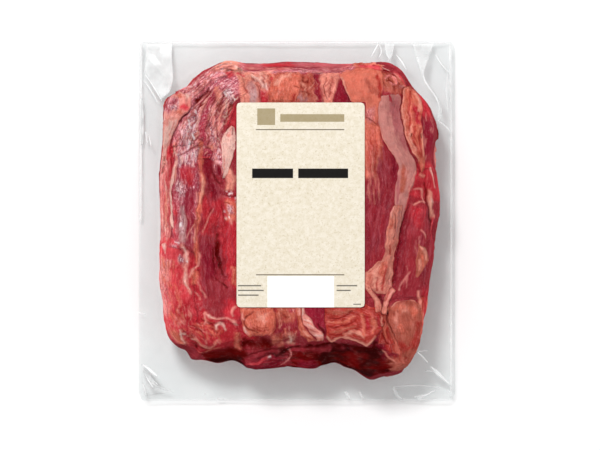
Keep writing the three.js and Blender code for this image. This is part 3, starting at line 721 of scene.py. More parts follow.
# %% Strips given by their middle: tissue, line, half widths, rise, softness of its edge
LINED = [
    # upper left
    ("maroon", [(-70, 103.5), (-76, 97), (-81, 90)], [0.8, 1.5, 1], -0.6, 1.5),
    ("haze", [(-77, 88), (-82, 78), (-87, 66), (-89, 57)], [1.8, 4, 4.8, 3], 0.2, 2),
    ("haze", [(-66, 82), (-67, 72), (-65.5, 62)], [0.8, 1.4, 1.2], 0.1, 1.2),
    ("ridge", [(-62.5, 103.5), (-67, 96.5), (-71.5, 86), (-73.3, 75), (-73.3, 66), (-72.5, 58)],
     [1.2, 2.2, 2.6, 2.6, 2.6, 2.2], 0.9, 2),
    ("blush", [(-65, 103.5), (-71, 96), (-75.6, 86), (-77.6, 75), (-77.4, 66)],
     [0.3, 0.5, 0.6, 0.5, 0.3], 0.4, 1),
    ("deep", [(-61, 103), (-64.6, 95), (-68.2, 84), (-70, 74), (-69.8, 60)], [0.3, 0.4, 0.4, 0.5, 0.3],
     -0.7, 1),
    ("deep", [(-66, 104), (-73, 96), (-78, 86), (-80, 76)], [0.3, 0.5, 0.5, 0.3], -0.6, 1),
    ("sinew", [(-62.5, 106), (-61.3, 100), (-61.6, 93)], [1.2, 2.2, 1], 0.4, 1.5),
    ("blush", [(-63.6, 92), (-65.4, 84), (-65.6, 74)], [0.4, 0.7, 0.4], 0.4, 1),
    ("deep", [(-57.5, 104), (-58.6, 96), (-62, 86), (-63, 70)], [0.3, 0.4, 0.4, 0.3], -0.6, 1),
    ("haze", [(-53.4, 104), (-52.4, 99), (-51, 93)], [1.2, 2.2, 1.2], 0.2, 1.5),
    ("blush", [(-57, 92), (-60, 82), (-61.5, 70)], [0.4, 0.6, 0.5], 0.4, 1),
    ("haze", [(-88, 52), (-84, 46), (-80, 53)], [1.6, 2.6, 1.6], 0.3, 2),
    ("deep", [(-94, 51.5), (-88.5, 53), (-83.4, 55.8), (-76.3, 59)], [0.3, 0.6, 0.6, 0.3], -0.7, 1.2),
    ("red", [(-87, 42), (-85.5, 35), (-86, 28)], [4, 5.5, 4], 0.1, 3),
    ("haze", [(-93, 31), (-91.4, 24), (-92, 17)], [1, 2.6, 1], 0.2, 1.5),
    ("plum", [(-84, 24), (-84.5, 14), (-84, 0), (-84, -18)], [3.4, 3.6, 3, 2.4], 0.0, 3),
    ("ash", [(-89.6, 12), (-89.6, 0), (-90.4, -16)], [1.6, 2.6, 2], 0.2, 1.5),
    ("haze", [(-90.5, 8), (-90.3, -8)], [0.5, 0.5], 0.1, 0.8),
    ("sinew", [(-94.5, 46), (-95, 38), (-96, 31)], [0.4, 0.9, 0.4], 0.4, 1),
    ("sinew", [(-103.5, 24), (-104, 8), (-103, -6)], [0.6, 1.0, 0.5], 0.2, 1.2),
    ("amber",
     [(-75.2, 62), (-74.6, 52), (-74.7, 44), (-73.9, 35), (-74, 27), (-74.3, 20), (-75.8, 12), (-77, 3),
      (-77.7, -9), (-78.4, -22), (-78.2, -33)], [1.6, 2.2, 1.3, 1.3, 1.5, 2, 1.7, 1.3, 1.5, 1.5, 0.8],
     0.5, 2),
    ("paler_fat", [(-74.2, 37), (-74, 24), (-75.6, 13)], [0.5, 1.1, 0.6], 0.3, 1),
    ("blush", [(-77.7, 22), (-77.9, 15)], [0.6, 0.5], 0.3, 0.8),
    ("blush", [(-78.6, -6), (-79, -16)], [0.4, 0.5], 0.2, 0.8),
    ("sinew", [(-67.5, 59.5), (-65.2, 56)], [1.8, 1.8], 0.8, 1.5),
    ("red", [(-102.6, 60), (-99, 40), (-99, 26)], [0.5, 0.6, 0.5], -0.4, 1),
    ("cleft_shade", [(-67.3, 43), (-63.4, 34.8), (-59.1, 29.8), (-57.4, 31.5)], [0.3, 0.6, 0.6, 0.3], -0.8,
     1.4),
    ("paler_fat", [(-53.6, 42), (-52, 34), (-52.6, 24)], [1.8, 3.6, 3.4], 0.8, 1.6),
    ("blush", [(-54.6, 33), (-52, 30)], [1.2, 1.6], 0.4, 1.5),
    ("cleft_shade", [(-57, 20.4), (-52, 18.7), (-46, 18.6)], [0.4, 0.6, 0.6], -0.9, 1),
    ("amber", [(-52, 16), (-51, 0)], [3.8, 3.6], 0.3, 1.5),
    ("haze", [(-56.4, 12), (-56, 3)], [0.8, 0.9], 0.5, 0.8),
    # painted highlights: glints of the wet film, as pale spots
    ("glint", [(-56.8, 8.6), (-56.6, 6.8)], [0.4, 0.35], 0.2, 0.5),
    ("glint", [(-84.6, 79), (-83.8, 74.5)], [0.3, 0.4], 0.2, 0.5),
    ("glint", [(-79.4, 86.4), (-78.8, 84)], [0.3, 0.3], 0.2, 0.5),
    ("glint", [(-81.6, 69), (-80.2, 63)], [0.4, 0.5], 0.2, 0.6),
    ("glint", [(-83.6, 62), (-85, 56.8)], [0.4, 0.4], 0.2, 0.6),
    ("glint", [(-81.8, 53), (-81.4, 48)], [0.35, 0.3], 0.2, 0.5),
    ("glint", [(-85.8, 52), (-85.6, 49)], [0.35, 0.25], 0.2, 0.5),
    ("glint", [(-78.4, 53), (-78.6, 50)], [0.3, 0.25], 0.2, 0.5),
    ("glint", [(-56.4, 101), (-55.6, 97)], [0.5, 0.5], 0.2, 0.6),
    ("glint", [(-53.6, 100.6), (-53, 97.6)], [0.35, 0.3], 0.2, 0.5),
    ("glint", [(-95.4, -15.8), (-91.6, -17.4)], [0.4, 0.45], 0.2, 0.6),
    ("glint", [(-91, -1), (-90.8, -4)], [0.5, 0.5], 0.1, 0.6),
    ("glint", [(-52.6, 21), (-50, 20.4)], [0.4, 0.5], 0.3, 0.6),
    ("glint", [(-53.6, 3.6), (-52.8, 1.8)], [0.4, 0.4], 0.3, 0.6),
    ("glint", [(-92.6, 26), (-92.2, 23)], [0.35, 0.35], 0.2, 0.5),
    ("plum_muscle", [(-62, 44), (-60.4, 36)], [1.6, 1], -0.2, 1.5),
    ("cream", [(-56.4, 2.6), (-55, 0.8)], [0.8, 0.6], 0.6, 0.8),
    ("haze", [(-53.6, 11), (-51, 6)], [1, 0.8], 0.4, 0.8),
    ("blush", [(-52, 2), (-51, -2)], [1, 0.8], 0.4, 0.8),
    ("deep", [(-56, 14), (-53, 12.5)], [0.4, 0.4], -0.5, 0.8),
    ("deep", [(-57.8, 20), (-58, 8), (-56.4, -4)], [0.3, 0.6, 0.3], -0.5, 1),
    ("blush", [(-65.2, 9.1), (-69.4, 0), (-73.4, -9.5)], [0.3, 0.4, 0.3], 0.3, 0.6),
    ("deep", [(-66.4, 9.6), (-69, 4.6)], [0.7, 0.4], -0.6, 0.8),
    ("blush", [(-79.8, -2.3), (-83, -7.6), (-86.3, -13)], [0.3, 0.35, 0.3], 0.2, 0.6),
    # the ridge over the lower left
    ("blush",
     [(-91, -18.6), (-87.4, -25), (-86, -31), (-87.6, -37), (-87.2, -43), (-85.6, -49), (-83.4, -56.4)],
     [1.4, 1.6, 2, 1.6, 2.2, 1.5, 0.5], 0.6, 1.8),
    ("cream", [(-90, -21), (-87, -26), (-86, -31)], [0.4, 0.6, 0.7], 0.3, 0.8),
    ("cream", [(-88, -40), (-87, -47), (-84, -53)], [0.7, 0.6, 0.4], 0.3, 0.8),
    ("haze", [(-99, -18.5), (-94, -19.5)], [0.8, 0.7], 0.2, 0.8),
    ("haze", [(-92.5, -28), (-88, -31)], [0.6, 0.6], 0.2, 0.8),
    ("glint", [(-86, -30.4), (-85.3, -31.6)], [0.5, 0.4], 0.3, 0.6),
    ("cream", [(-104.6, -18), (-103, -26)], [1.5, 1.1], 0.5, 1.2),
    ("fat", [(-105, -28), (-103.6, -36)], [1.2, 1], 0.2, 1.2),
    ("amber", [(-82.4, -38), (-80, -43), (-79.4, -49)], [1.4, 3.2, 1.6], 0.5, 2),
    ("blush", [(-75.9, -24), (-76.4, -30), (-78, -35), (-81.4, -38.4), (-84, -44)],
     [0.6, 0.8, 0.8, 0.9, 0.6], 0.4, 1),
    ("cleft_shade", [(-77, -38.5), (-77.6, -39.6)], [0.5, 0.5], -0.5, 0.8),
    ("cleft_shade", [(-79.2, -49.8), (-79, -51.2)], [0.4, 0.4], -0.4, 0.8),
    ("blush", [(-77, -47.9), (-75.4, -53.4), (-70.7, -58.9)], [0.25, 0.35, 0.25], 0.3, 0.8),
    ("blush", [(-80.1, -55), (-77.6, -57.4), (-75.4, -60.5)], [0.25, 0.3, 0.25], 0.2, 0.8),
    ("fat", [(-49, -36), (-48.6, -50)], [1.2, 2], 0.4, 1.5),
    # lower left corner
    ("blush",
     [(-73, -72.2), (-68.3, -74.6), (-62.8, -76.2), (-55, -76.2), (-49.5, -77.7), (-47.9, -81)],
     [0.4, 1.0, 0.6, 0.8, 0.8, 1], 0.6, 1),
    ("cream", [(-69.5, -74), (-65, -75.6)], [0.4, 0.4], 0.3, 0.8),
    ("blush", [(-73.8, -73), (-71.6, -76.4), (-72.2, -81)], [0.4, 0.6, 0.4], 0.4, 0.8),
    ("blush", [(-47.1, -66.7), (-50.4, -69), (-51.2, -72), (-49.6, -74.4)], [0.6, 0.9, 0.9, 0.5], 0.6,
     0.8),
    ("cream", [(-63.2, -84.8), (-62.4, -81.5), (-59.7, -80.6), (-56.6, -82.6), (-55.9, -86)],
     [0.5, 0.9, 1, 0.9, 0.5], 0.6, 0.9),
    ("ruddy_fat", [(-60, -85), (-59, -88)], [1.4, 1.2], -0.3, 1),
    ("amber", [(-46.6, -87), (-46.4, -100)], [2, 1.8], 0.4, 1.5),
    ("blush", [(-48.6, -78), (-47, -81)], [1.2, 1], 0.4, 1),
    ("amber", [(-97, -86), (-92, -92), (-88, -99)], [1.6, 3.4, 2.4], 0.6, 2.5),
    ("cream", [(-92.6, -84.6), (-90.4, -89), (-89.4, -93), (-87.4, -96.6)], [0.5, 0.8, 0.5, 0.4], 0.6,
     0.9),
    ("cream", [(-90.8, -87.4), (-86.6, -90.3)], [0.5, 0.4], 0.5, 0.8),
    ("sinew", [(-82.5, -92.7), (-78.6, -93.5), (-74.6, -96.6), (-67.5, -98.2), (-62.8, -92.7)],
     [0.5, 0.9, 0.8, 0.8, 0.4], 0.6, 1.2),
    ("cream", [(-81.6, -93), (-79.4, -93.6)], [0.4, 0.5], 0.4, 0.7),
    ("sinew", [(-102.2, -77.7), (-102, -84.8), (-97.4, -91.9), (-92.7, -97.4), (-87.2, -101.3)],
     [0.4, 0.6, 0.7, 0.7, 0.5], 0.4, 1),
    ("red", [(-81, -103), (-76, -103.6)], [2.2, 1.8], 0.6, 2),
    ("sinew", [(-81, -104.4), (-78, -103.2), (-75, -105)], [0.3, 0.5, 0.3], 0.3, 0.8),
    ("tan", [(-73, -103), (-66, -99.6), (-60, -99)], [0.4, 0.6, 0.4], 0.3, 1),
    # top
    ("cream", [(-49, 121.6), (-43, 118)], [1.3, 1.2], 0.4, 1.2),
    ("bright", [(-47, 116), (-42, 113)], [0.9, 0.7], 0.0, 1),
    ("ash", [(-35.4, 109), (-34.6, 102), (-34, 90)], [2, 3.8, 4.2], 0.0, 2),
    ("veiled", [(-35.6, 109), (-35.4, 104)], [1.6, 1.6], 0.0, 1.4),
    ("cream", [(-35, 114), (-30, 111), (-26, 105)], [0.7, 0.9, 0.6], 0.4, 1),
    ("cream", [(-24.6, 108), (-23.4, 103)], [0.6, 0.6], 0.3, 0.8),
    ("deep", [(-36, 112), (-31, 108), (-29.4, 102), (-28.6, 94)], [0.3, 0.4, 0.4, 0.3], -0.6, 0.9),
    ("deep", [(-26.6, 110), (-25, 105)], [0.3, 0.3], -0.5, 0.8),
    ("bright", [(-20.6, 112), (-19.6, 108)], [0.7, 0.7], 0.0, 0.8),
    ("veiled", [(-2, 102), (2, 97), (8, 94)], [1, 2, 2], 0.1, 1.5),
    ("deep", [(2, 112), (6, 109), (9, 110.6)], [0.3, 0.5, 0.3], -0.6, 0.8),
    ("deep", [(1, 106), (5, 104.6), (8, 106)], [0.3, 0.4, 0.3], -0.5, 0.8),
    ("deep", [(2.6, 101.6), (7, 101), (10.6, 98)], [0.3, 0.4, 0.3], -0.5, 0.8),
    ("paler_fat", [(3, 108), (7, 106.6)], [0.4, 0.5], 0.3, 0.8),
    ("deep", [(22.4, 112), (22, 102), (24.6, 94)], [0.3, 0.5, 0.4], -0.5, 0.8),
    ("deep", [(27.4, 112), (27, 103), (25.6, 96)], [0.3, 0.4, 0.3], -0.4, 0.8),
    ("sinew", [(31, 108), (29.6, 101), (26.4, 92)], [0.5, 0.6, 0.5], 0.3, 0.8),
    ("cleft_shade", [(5, 118.4), (8.6, 117.4)], [0.4, 0.4], -0.6, 0.7),
    ("cleft_shade", [(32.5, 119.2), (36, 118)], [0.5, 0.4], -0.7, 0.8),
    ("cleft_shade", [(-47, 119), (-44.4, 118.4)], [0.6, 0.5], -0.5, 0.6),
    # upper right
    ("rosy", [(69.4, 112), (72.6, 115), (76.6, 112.6), (78, 109), (75.6, 106.8), (73.4, 109.6)],
     [0.4, 0.8, 0.8, 0.8, 0.7, 0.4], 0.6, 0.9),
    ("veiled", [(79, 104), (83, 107)], [0.6, 0.6], 0.4, 1),
    ("veiled", [(70, 104), (75, 103.4)], [0.6, 0.8], 0.3, 1),
    ("deep", [(70.4, 110), (73.6, 111.6), (75.6, 109.6)], [0.3, 0.4, 0.3], -0.5, 0.8),
    ("maroon", [(67, 118.8), (72, 118.4), (78, 115)], [1.2, 1.6, 0.8], -0.4, 1.2),
    ("cream", [(66.8, 121.8), (74.6, 120.8)], [1, 0.7], 0.4, 1),
    ("blush", [(78, 118.4), (81, 116), (84.4, 113)], [0.8, 0.9, 0.5], 0.4, 0.8),
    ("bright", [(79, 120), (84, 116), (89, 109)], [1, 1.5, 1], 0.0, 1),
    ("tan", [(68, 103), (74, 101), (80, 101)], [1.4, 1.6, 1.4], 0.5, 1.2),
    ("sinew", [(95.6, 37.6), (99.6, 35)], [1, 1], 0.5, 1),
    ("cream", [(105, 41), (107.6, 34), (109.4, 27)], [0.5, 0.8, 0.4], 0.5, 0.8),
    ("blush", [(91, 24.6), (97.4, 24.6), (98.4, 16.6), (100.2, 14)], [0.5, 0.8, 0.7, 0.5], 0.4, 0.9),
    ("blush", [(91, 12), (95, 15), (100, 15)], [0.3, 0.6, 0.5], 0.3, 0.9),
    ("deep", [(99.4, 30), (101, 24), (102.6, 14)], [0.5, 0.9, 0.6], -0.4, 1.2),
    ("paler_fat", [(102.6, 24), (105, 18), (105.6, 9), (106.4, 2)], [0.6, 1.5, 1.2, 1], 0.8, 1),
    ("cream", [(105.8, 17.4), (106.6, 14.6)], [0.6, 0.6], 0.3, 0.8),
    ("bright", [(106, 3), (107, -5), (108.8, -14)], [1.1, 1, 0.5], 0.6, 1),
    ("blush", [(97, -6.6), (99.4, -9), (101, -13)], [0.25, 0.35, 0.25], 0.1, 0.8),
    ("blush", [(88, -40), (84, -46), (80, -54)], [0.3, 0.5, 0.3], 0.1, 1),
    ("sinew", [(95.3, -54), (95.6, -62), (96.3, -71)], [0.9, 1, 0.8], 0.4, 1),
    ("ruddy_fat", [(98.5, -59), (98.4, -72)], [1.2, 1.4], -0.5, 1),
    ("blush", [(99.5, -72), (100, -84)], [0.8, 0.5], 0.2, 1),
    # lower right
    ("sinew", [(67, -100), (72, -106), (78, -111)], [0.5, 0.7, 0.4], 0.4, 1),
    ("fat", [(80, -110), (86, -110.5), (92, -107)], [0.6, 1, 0.6], 0.4, 1.2),
    ("ruddy_fat", [(66, -90), (71, -96), (73, -102)], [1.8, 2.2, 1.4], 0.6, 1.5),
    # below the label
    ("tan", [(-15, -78.6), (-9, -79), (-4, -78.4)], [0.7, 0.8, 0.6], 0.3, 1),
    ("deep", [(-13, -72), (-10, -75), (-6, -76)], [0.3, 0.4, 0.3], -0.4, 0.8),
    ("amber", [(-9.6, -84), (-9, -92)], [0.9, 0.8], 0.2, 1),
    ("cream", [(-6, -90), (-4, -94)], [0.8, 0.8], 0.3, 1),
    ("bright", [(-41.4, -114), (-32, -111), (-25, -108.2), (-20, -106)], [0.4, 0.8, 0.9, 0.4], 0.3, 1),
    ("glint", [(-22.8, -107.4), (-20.4, -106.4)], [0.3, 0.6], 0.2, 0.7),
    ("rosy", [(-5.6, -100.2), (-4.2, -105.2), (-7.8, -109.5), (-12.8, -113.8)], [0.3, 0.4, 0.4, 0.3],
     0.3, 0.8),
    # clefts, darkened with painted shade
    ("cleft_shade", [(-80.6, 90), (-86.4, 83.5), (-90.7, 79.2), (-96.4, 70), (-100, 60.6)],
     [0.6, 1, 0.6, 0.35, 0.25], -1.4, 1.5),
    ("deep", [(-50.7, 76), (-50.5, 69)], [0.3, 0.5], -0.3, 0.8),
    ("deep", [(-47.5, 58), (-50, 51), (-54.5, 40), (-56.6, 33)], [0.5, 0.5, 0.4, 0.3], -0.6, 0.8),
    ("deep", [(-62, -10), (-61.4, -18), (-61.4, -26), (-59.8, -34), (-56.6, -42.4), (-53.4, -45)],
     [0.4, 0.9, 1.4, 1.2, 0.8, 0.3], -2.4, 2.0),
    ("cleft_shade", [(-61.4, -16), (-61.3, -26), (-59.4, -34), (-56.4, -42)], [0.3, 0.7, 0.9, 0.3], -0.6, 1),
    ("maroon", [(-64.4, -20), (-64.6, -32), (-62, -41)], [0.6, 0.9, 0.6], -0.5, 1.5),
    ("deep", [(-67, -42.4), (-62.8, -45.6), (-55.8, -51.8)], [0.3, 0.6, 0.5], -0.8, 1.2),
    ("cleft_shade", [(-58, -49.6), (-55, -52.6)], [0.4, 0.5], -0.4, 0.8),
    ("cleft_shade", [(-82.6, -95.4), (-80.4, -98.4), (-82.4, -101.6)], [0.5, 0.9, 0.5], -0.9, 1.4),
    ("deep", [(66.5, 117), (67.5, 110), (70, 105)], [0.3, 0.5, 0.3], -0.5, 0.8),
    ("cleft_shade", [(84.8, 106), (81.8, 99.5), (80.9, 86.5), (82.6, 74), (85.4, 65.5), (92.5, 47), (96, 38)],
     [0.3, 0.5, 0.5, 0.4, 0.4, 0.3, 0.2], -1.6, 1.5),
    ("cleft_shade", [(88, 12), (83.5, 3), (81, -5), (79, -15)], [0.3, 0.4, 0.4, 0.3], -1.2, 1.5),
    ("deep", [(79, -15), (77.8, -25), (76, -35), (75.6, -49)], [0.4, 0.4, 0.5, 0.6], -1.0, 1.5),
    ("cleft_shade", [(101.5, 22), (103.2, 8), (104.6, 0), (106.4, -9), (107.8, -14)],
     [0.3, 0.5, 0.6, 0.5, 0.2], -0.9, 1.2),
    ("cleft_shade", [(64, -58), (65.5, -63)], [1.2, 0.8], -1.2, 1.2),
    ("cleft_shade", [(69.8, -69), (70.3, -78), (74.3, -85), (78.5, -94), (80.5, -98)],
     [0.4, 0.5, 0.5, 0.4, 0.2], -1.2, 1.5),
    ("cleft_shade", [(99.6, -49.2), (99.6, -50.4)], [0.8, 0.7], -0.5, 0.5),
    ("cleft_shade", [(17, -79), (19.4, -84), (21.4, -89)], [0.4, 1, 0.5], -1.2, 1.2),
    ("cleft_shade", [(-50, -108), (-36, -104), (-20, -100.6), (-8, -98.4)], [0.6, 0.6, 0.6, 0.5], -1.0, 1.2),
    ("cleft_shade", [(-4, -98), (12, -98), (24, -98), (40, -98.4), (55, -100), (64, -95)],
     [0.8, 1.4, 1.6, 1.8, 1.6, 0.6], -1.2, 2),
]
print(len(LINED), "strips along lines")

# %% [markdown]
# Fibres that are seen one by one are too many to list. They are drawn by chance, with a fixed seed, each
# one following the strip that it belongs to for a short way.

# %% Fibres: tissue, left edge, right edge, how many, length, half width, rise, cover
CURVED = (
    [(-98, 50), (-94, 66), (-85, 82), (-74, 97), (-60, 110)],
    [(-60, 50), (-58, 66), (-54, 80), (-49, 92), (-43, 98)],
)
UPPER_BAND = (
    [(-98, 94), (-88, 108), (-74, 121), (-50, 128)],
    [(-85, 92), (-73, 104), (-62, 112), (-46, 117)],
)
FIBRES = [
    ("blush", *CURVED, 170, 9, 0.4, 0.6, 0.8),
    ("deep", *CURVED, 200, 10, 0.42, -0.9, 0.65),
    ("cream", *CURVED, 70, 4, 0.35, 0.2, 0.8),
    # painted highlights: sparkles of the wet film, scattered over the muscles
    ("spark", [(-93, 57), (-90, 70), (-83, 85)], [(-81, 57), (-79, 70), (-74, 86)], 44, 3.5, 0.3, 0.2,
     0.85),
    ("deep", [(-95, 57), (-92, 70), (-85, 85)], [(-79, 57), (-77, 70), (-73, 86)], 40, 4, 0.35, -0.5,
     0.7),
    ("spark", [(-94, 56), (-94, 42)], [(-77, 57), (-78, 42)], 34, 4, 0.28, 0.2, 0.8),
    ("plum_muscle", [(-94, 54), (-94, 40)], [(-77, 55), (-78, 40)], 30, 5, 0.4, -0.3, 0.7),
    ("spark", [(-94, 33), (-93, 14)], [(-87, 33), (-87, 14)], 28, 1.6, 0.3, 0.2, 0.85),
    ("spark", [(-92, 14), (-92, -18)], [(-86, 14), (-87, -18)], 30, 2, 0.25, 0.1, 0.7),
    ("spark", [(-56, 106), (-54, 96)], [(-49, 105), (-48, 92)], 16, 2, 0.3, 0.2, 0.8),
    ("spark", [(-64, 60), (-64, 46)], [(-59, 60), (-59, 40)], 12, 3, 0.25, 0.1, 0.7),
    ("spark", [(-58, 24), (-57, 0)], [(-48, 24), (-48, 0)], 26, 1.3, 0.4, 0.3, 0.8),
    ("blush", *UPPER_BAND, 150, 5, 0.35, 0.3, 0.75),
    ("deep", *UPPER_BAND, 120, 5, 0.4, -0.4, 0.55),
    ("spark", *UPPER_BAND, 60, 1.6, 0.28, 0.2, 0.7),
    ("haze", [(-95, 56), (-94, 40)], [(-77, 57), (-78, 40)], 40, 5, 0.35, 0.2, 0.8),
    ("cream", [(-92, 54), (-92, 42)], [(-79, 56), (-79, 42)], 22, 4, 0.3, 0.2, 0.8),
    ("cream", [(-95, 33), (-94, 15)], [(-88, 33), (-88, 15)], 30, 1.8, 0.4, 0.2, 0.8),
    ("haze", [(-86, 30), (-86, 16)], [(-82, 30), (-82, 16)], 10, 2.5, 0.4, 0.2, 0.5),
    ("rose", [(-96, 50), (-96, 10), (-95, -18)], [(-79, 50), (-79, 10), (-80, -18)], 60, 10, 0.45, 0.2,
     0.5),
    ("plum_muscle", [(-96, 48), (-96, 10), (-95, -18)], [(-79, 48), (-79, 10), (-80, -18)], 46, 12, 0.5,
     -0.3, 0.5),
    ("blush", [(-87, 8), (-87, -17)], [(-80, 8), (-80, -17)], 24, 4, 0.3, 0.2, 0.6),
    ("cream", [(-107, 60), (-108, 20), (-107, -20)], [(-100, 56), (-100, 20), (-100, -16)], 36, 12,
     0.35, 0.3, 0.6),
    ("red", [(-107, 50), (-108, 20), (-107, -20)], [(-99, 50), (-99, 20), (-99, -20)], 46, 12, 0.45,
     -0.3, 0.6),
    ("blush", [(-66, 56), (-65, 44), (-61, 35)], [(-59, 56), (-59, 44), (-58, 36)], 18, 5, 0.3, 0.2,
     0.6),
    ("deep", [(-74, 30), (-76, 0), (-76, -40), (-72, -72)],
     [(-50, 30), (-46, 0), (-44, -40), (-46, -72)], 24, 14, 0.4, -0.2, 0.35),
    ("pale_muscle", [(-74, 40), (-76, 0), (-76, -40), (-72, -72)],
     [(-56, 40), (-50, 0), (-50, -40), (-50, -72)], 80, 10, 0.4, 0.1, 0.5),
    ("blush", [(-106, -30), (-108, -50), (-104, -84)], [(-90, -30), (-84, -50), (-84, -84)], 50, 3, 0.3,
     0.15, 0.5),
    ("blush", [(-100, -64), (-98, -72), (-95, -84)], [(-84, -64), (-83, -72), (-84, -84)], 26, 4, 0.35,
     0.3, 0.6),
    ("red", [(-104, -30), (-104, -50), (-96, -90)], [(-84, -30), (-80, -50), (-70, -90)], 60, 8, 0.6,
     -0.2, 0.45),
    ("amber", [(-106, -30), (-106, -50), (-98, -90)], [(-96, -30), (-94, -50), (-84, -90)], 40, 6, 0.7,
     0.1, 0.5),
    ("pale_muscle", [(54, 60), (54, 20), (54, -36)], [(66, 60), (75, 30), (68, -26)], 90, 16, 0.5, 0.1,
     0.4),
    ("plum_muscle", [(54, 50), (54, 20), (54, -36)], [(70, 50), (76, 30), (68, -26)], 50, 20, 0.6, -0.1,
     0.4),
    ("sinew", [(53, 76), (54, 56), (56, 30)], [(62, 74), (63, 54), (62, 28)], 20, 16, 0.35, 0.1, 0.3),
    ("sinew", [(54, 50), (55, 30), (56, 12)], [(62, 50), (64, 30), (66, 12)], 14, 14, 0.35, 0.1, 0.4),
    ("ruddy_fat", [(53, 78), (54, 60), (56, 34)], [(62, 74), (63, 60), (62, 34)], 30, 12, 0.5, -0.1,
     0.5),
    ("blush", [(98, 98), (98, 70), (98, 46)], [(110, 94), (112, 70), (110, 46)], 16, 8, 0.35, 0.1, 0.4),
    ("pale_muscle", [(88, 12), (82, -20), (79, -54)], [(110, 12), (108, -20), (102, -54)], 50, 12, 0.5,
     0.1, 0.4),
    ("plum_muscle", [(88, 12), (82, -20), (79, -54)], [(110, 12), (108, -20), (102, -54)], 30, 14, 0.6,
     -0.1, 0.4),
    ("blush", [(92, 10), (88, -20), (84, -54)], [(106, 12), (106, -20), (102, -54)], 8, 6, 0.25, 0.1,
     0.5),
    ("ruddy_fat", [(72, -66), (72, -90), (78, -116)], [(98, -66), (98, -90), (90, -116)], 30, 8, 0.6,
     -0.2, 0.5),
    ("blush", [(-42, 128), (0, 128), (46, 128)], [(-42, 118), (0, 118), (44, 118)], 70, 10, 0.35, 0.2,
     0.6),
    ("plum", [(-42, 128), (0, 128), (46, 128)], [(-42, 118), (0, 118), (44, 118)], 60, 14, 0.5, -0.2,
     0.6),
    ("deep", [(66, 120), (72, 110), (76, 100)], [(88, 112), (86, 106), (82, 100)], 26, 5, 0.4, -0.3,
     0.5),
    ("blush", [(72, 120), (76, 114), (80, 106)], [(88, 112), (86, 106), (84, 104)], 16, 3, 0.35, 0.2,
     0.6),
    ("paler_fat", [(-22, 116), (-20, 104), (-20, 90)], [(14, 116), (16, 104), (16, 90)], 30, 6, 0.5,
     0.2, 0.5),
    ("cream", [(-40, 118), (-36, 112), (-28, 104)], [(-22, 117), (-22, 110), (-22, 102)], 22, 3, 0.4,
     0.4, 0.7),
    ("deep", [(-42, 118), (-36, 112), (-28, 102)], [(-20, 117), (-20, 110), (-20, 100)], 22, 3, 0.35,
     -0.5, 0.6),
    ("ruddy_fat", [(-44, 116), (-40, 104), (-40, 92)], [(30, 116), (30, 104), (28, 92)], 60, 6, 0.4,
     -0.3, 0.5),
    ("deep", [(0, 114), (0, 106), (0, 98)], [(13, 114), (13, 106), (12, 98)], 20, 3, 0.35, -0.5, 0.6),
    # shade and maroon fibres here: painted shade on the lower side
    ("shade", [(-44, -106), (-20, -104), (20, -101)], [(-42, -118), (-20, -119), (20, -117)], 30, 14,
     0.5, -0.2, 0.4),
    ("red", [(-40, -112), (-20, -109), (16, -108)], [(-40, -118), (-20, -118), (16, -117)], 14, 12, 0.5,
     0.2, 0.3),
    ("maroon", [(24, -100), (40, -100), (70, -106)], [(30, -114), (50, -118), (80, -120)], 40, 8, 0.8,
     0.3, 0.6),
    ("shade", [(30, -106), (40, -108), (70, -112)], [(36, -118), (50, -122), (80, -122)], 30, 8, 0.7,
     -0.3, 0.35),
    ("ruddy_fat", [(-20, -66), (-18, -80), (-16, -96)], [(0, -66), (0, -80), (0, -96)], 30, 4, 0.45,
     -0.3, 0.6),
    ("paler_fat", [(-18, -66), (-17, -80), (-14, -96)], [(0, -66), (0, -80), (0, -96)], 18, 3, 0.4, 0.3,
     0.6),
    ("amber", [(-94, -84), (-86, -92), (-80, -98)], [(-74, -74), (-62, -82), (-56, -96)], 30, 6, 0.6,
     0.4, 0.6),
    ("blush", [(-94, -84), (-86, -92), (-80, -98)], [(-74, -74), (-62, -82), (-56, -96)], 20, 4, 0.35,
     0.4, 0.6),
    ("deep", [(-94, -84), (-86, -92), (-80, -98)], [(-74, -74), (-62, -82), (-52, -96)], 24, 6, 0.4,
     -0.4, 0.5),
    ("deep", [(-80, -100), (-60, -100), (-46, -98)], [(-76, -112), (-60, -114), (-46, -112)], 20, 6,
     0.5, -0.4, 0.5),
]
print(len(FIBRES), "groups of fibres")

# %% Drawing them
LAST_STEP = 119  # each strip is cut into this many steps
SHORTEST_FIBRE = 1.5


def drawn_fibres():
    """All the fibres, each as its tissue, two edges, rise and cover."""
    chance = np.random.default_rng(5)
    made = []
    for tissue, left, right, count, length, half, rise, cover in FIBRES:
        left, right = curve_through(left, LAST_STEP + 1), curve_through(right, LAST_STEP + 1)
        run, _ = strip_size(left, right)
        for _ in range(count):
            reach = length * chance.uniform(0.5, 1.5) / run * LAST_STEP
            start = chance.uniform(0, max(1, LAST_STEP - reach))
            steps = np.clip(np.linspace(start, start + reach, 6), 0, LAST_STEP).astype(int)
            u = np.clip(chance.uniform(0, 1) + np.cumsum(chance.normal(0, 0.02, 6)), 0, 1)[:, None]
            path = left[steps] + (right[steps] - left[steps]) * u
            if np.hypot(*(path[-1] - path[0])) < SHORTEST_FIBRE:
                continue
            wide = half * chance.uniform(0.6, 1.5)
            edges = band(path, [0.1, wide, wide, 0.1], 14)
            made.append((tissue, *edges, rise * chance.uniform(0.5, 1.5), cover))
    return made


drawn = drawn_fibres()
print(len(drawn), "fibres")

# %% [markdown]
# The muscles of the top end half-way down the sides. Below them run streaks of fat, sinew and muscle, bent
# round the slab, which are drawn by chance as well.

# %% Streaks round the sides
SIDE_STREAKS = 120
SIDE_TISSUES = ("fat", "plum", "rosy", "deep", "ruddy_fat", "pale_muscle", "sinew", "maroon")


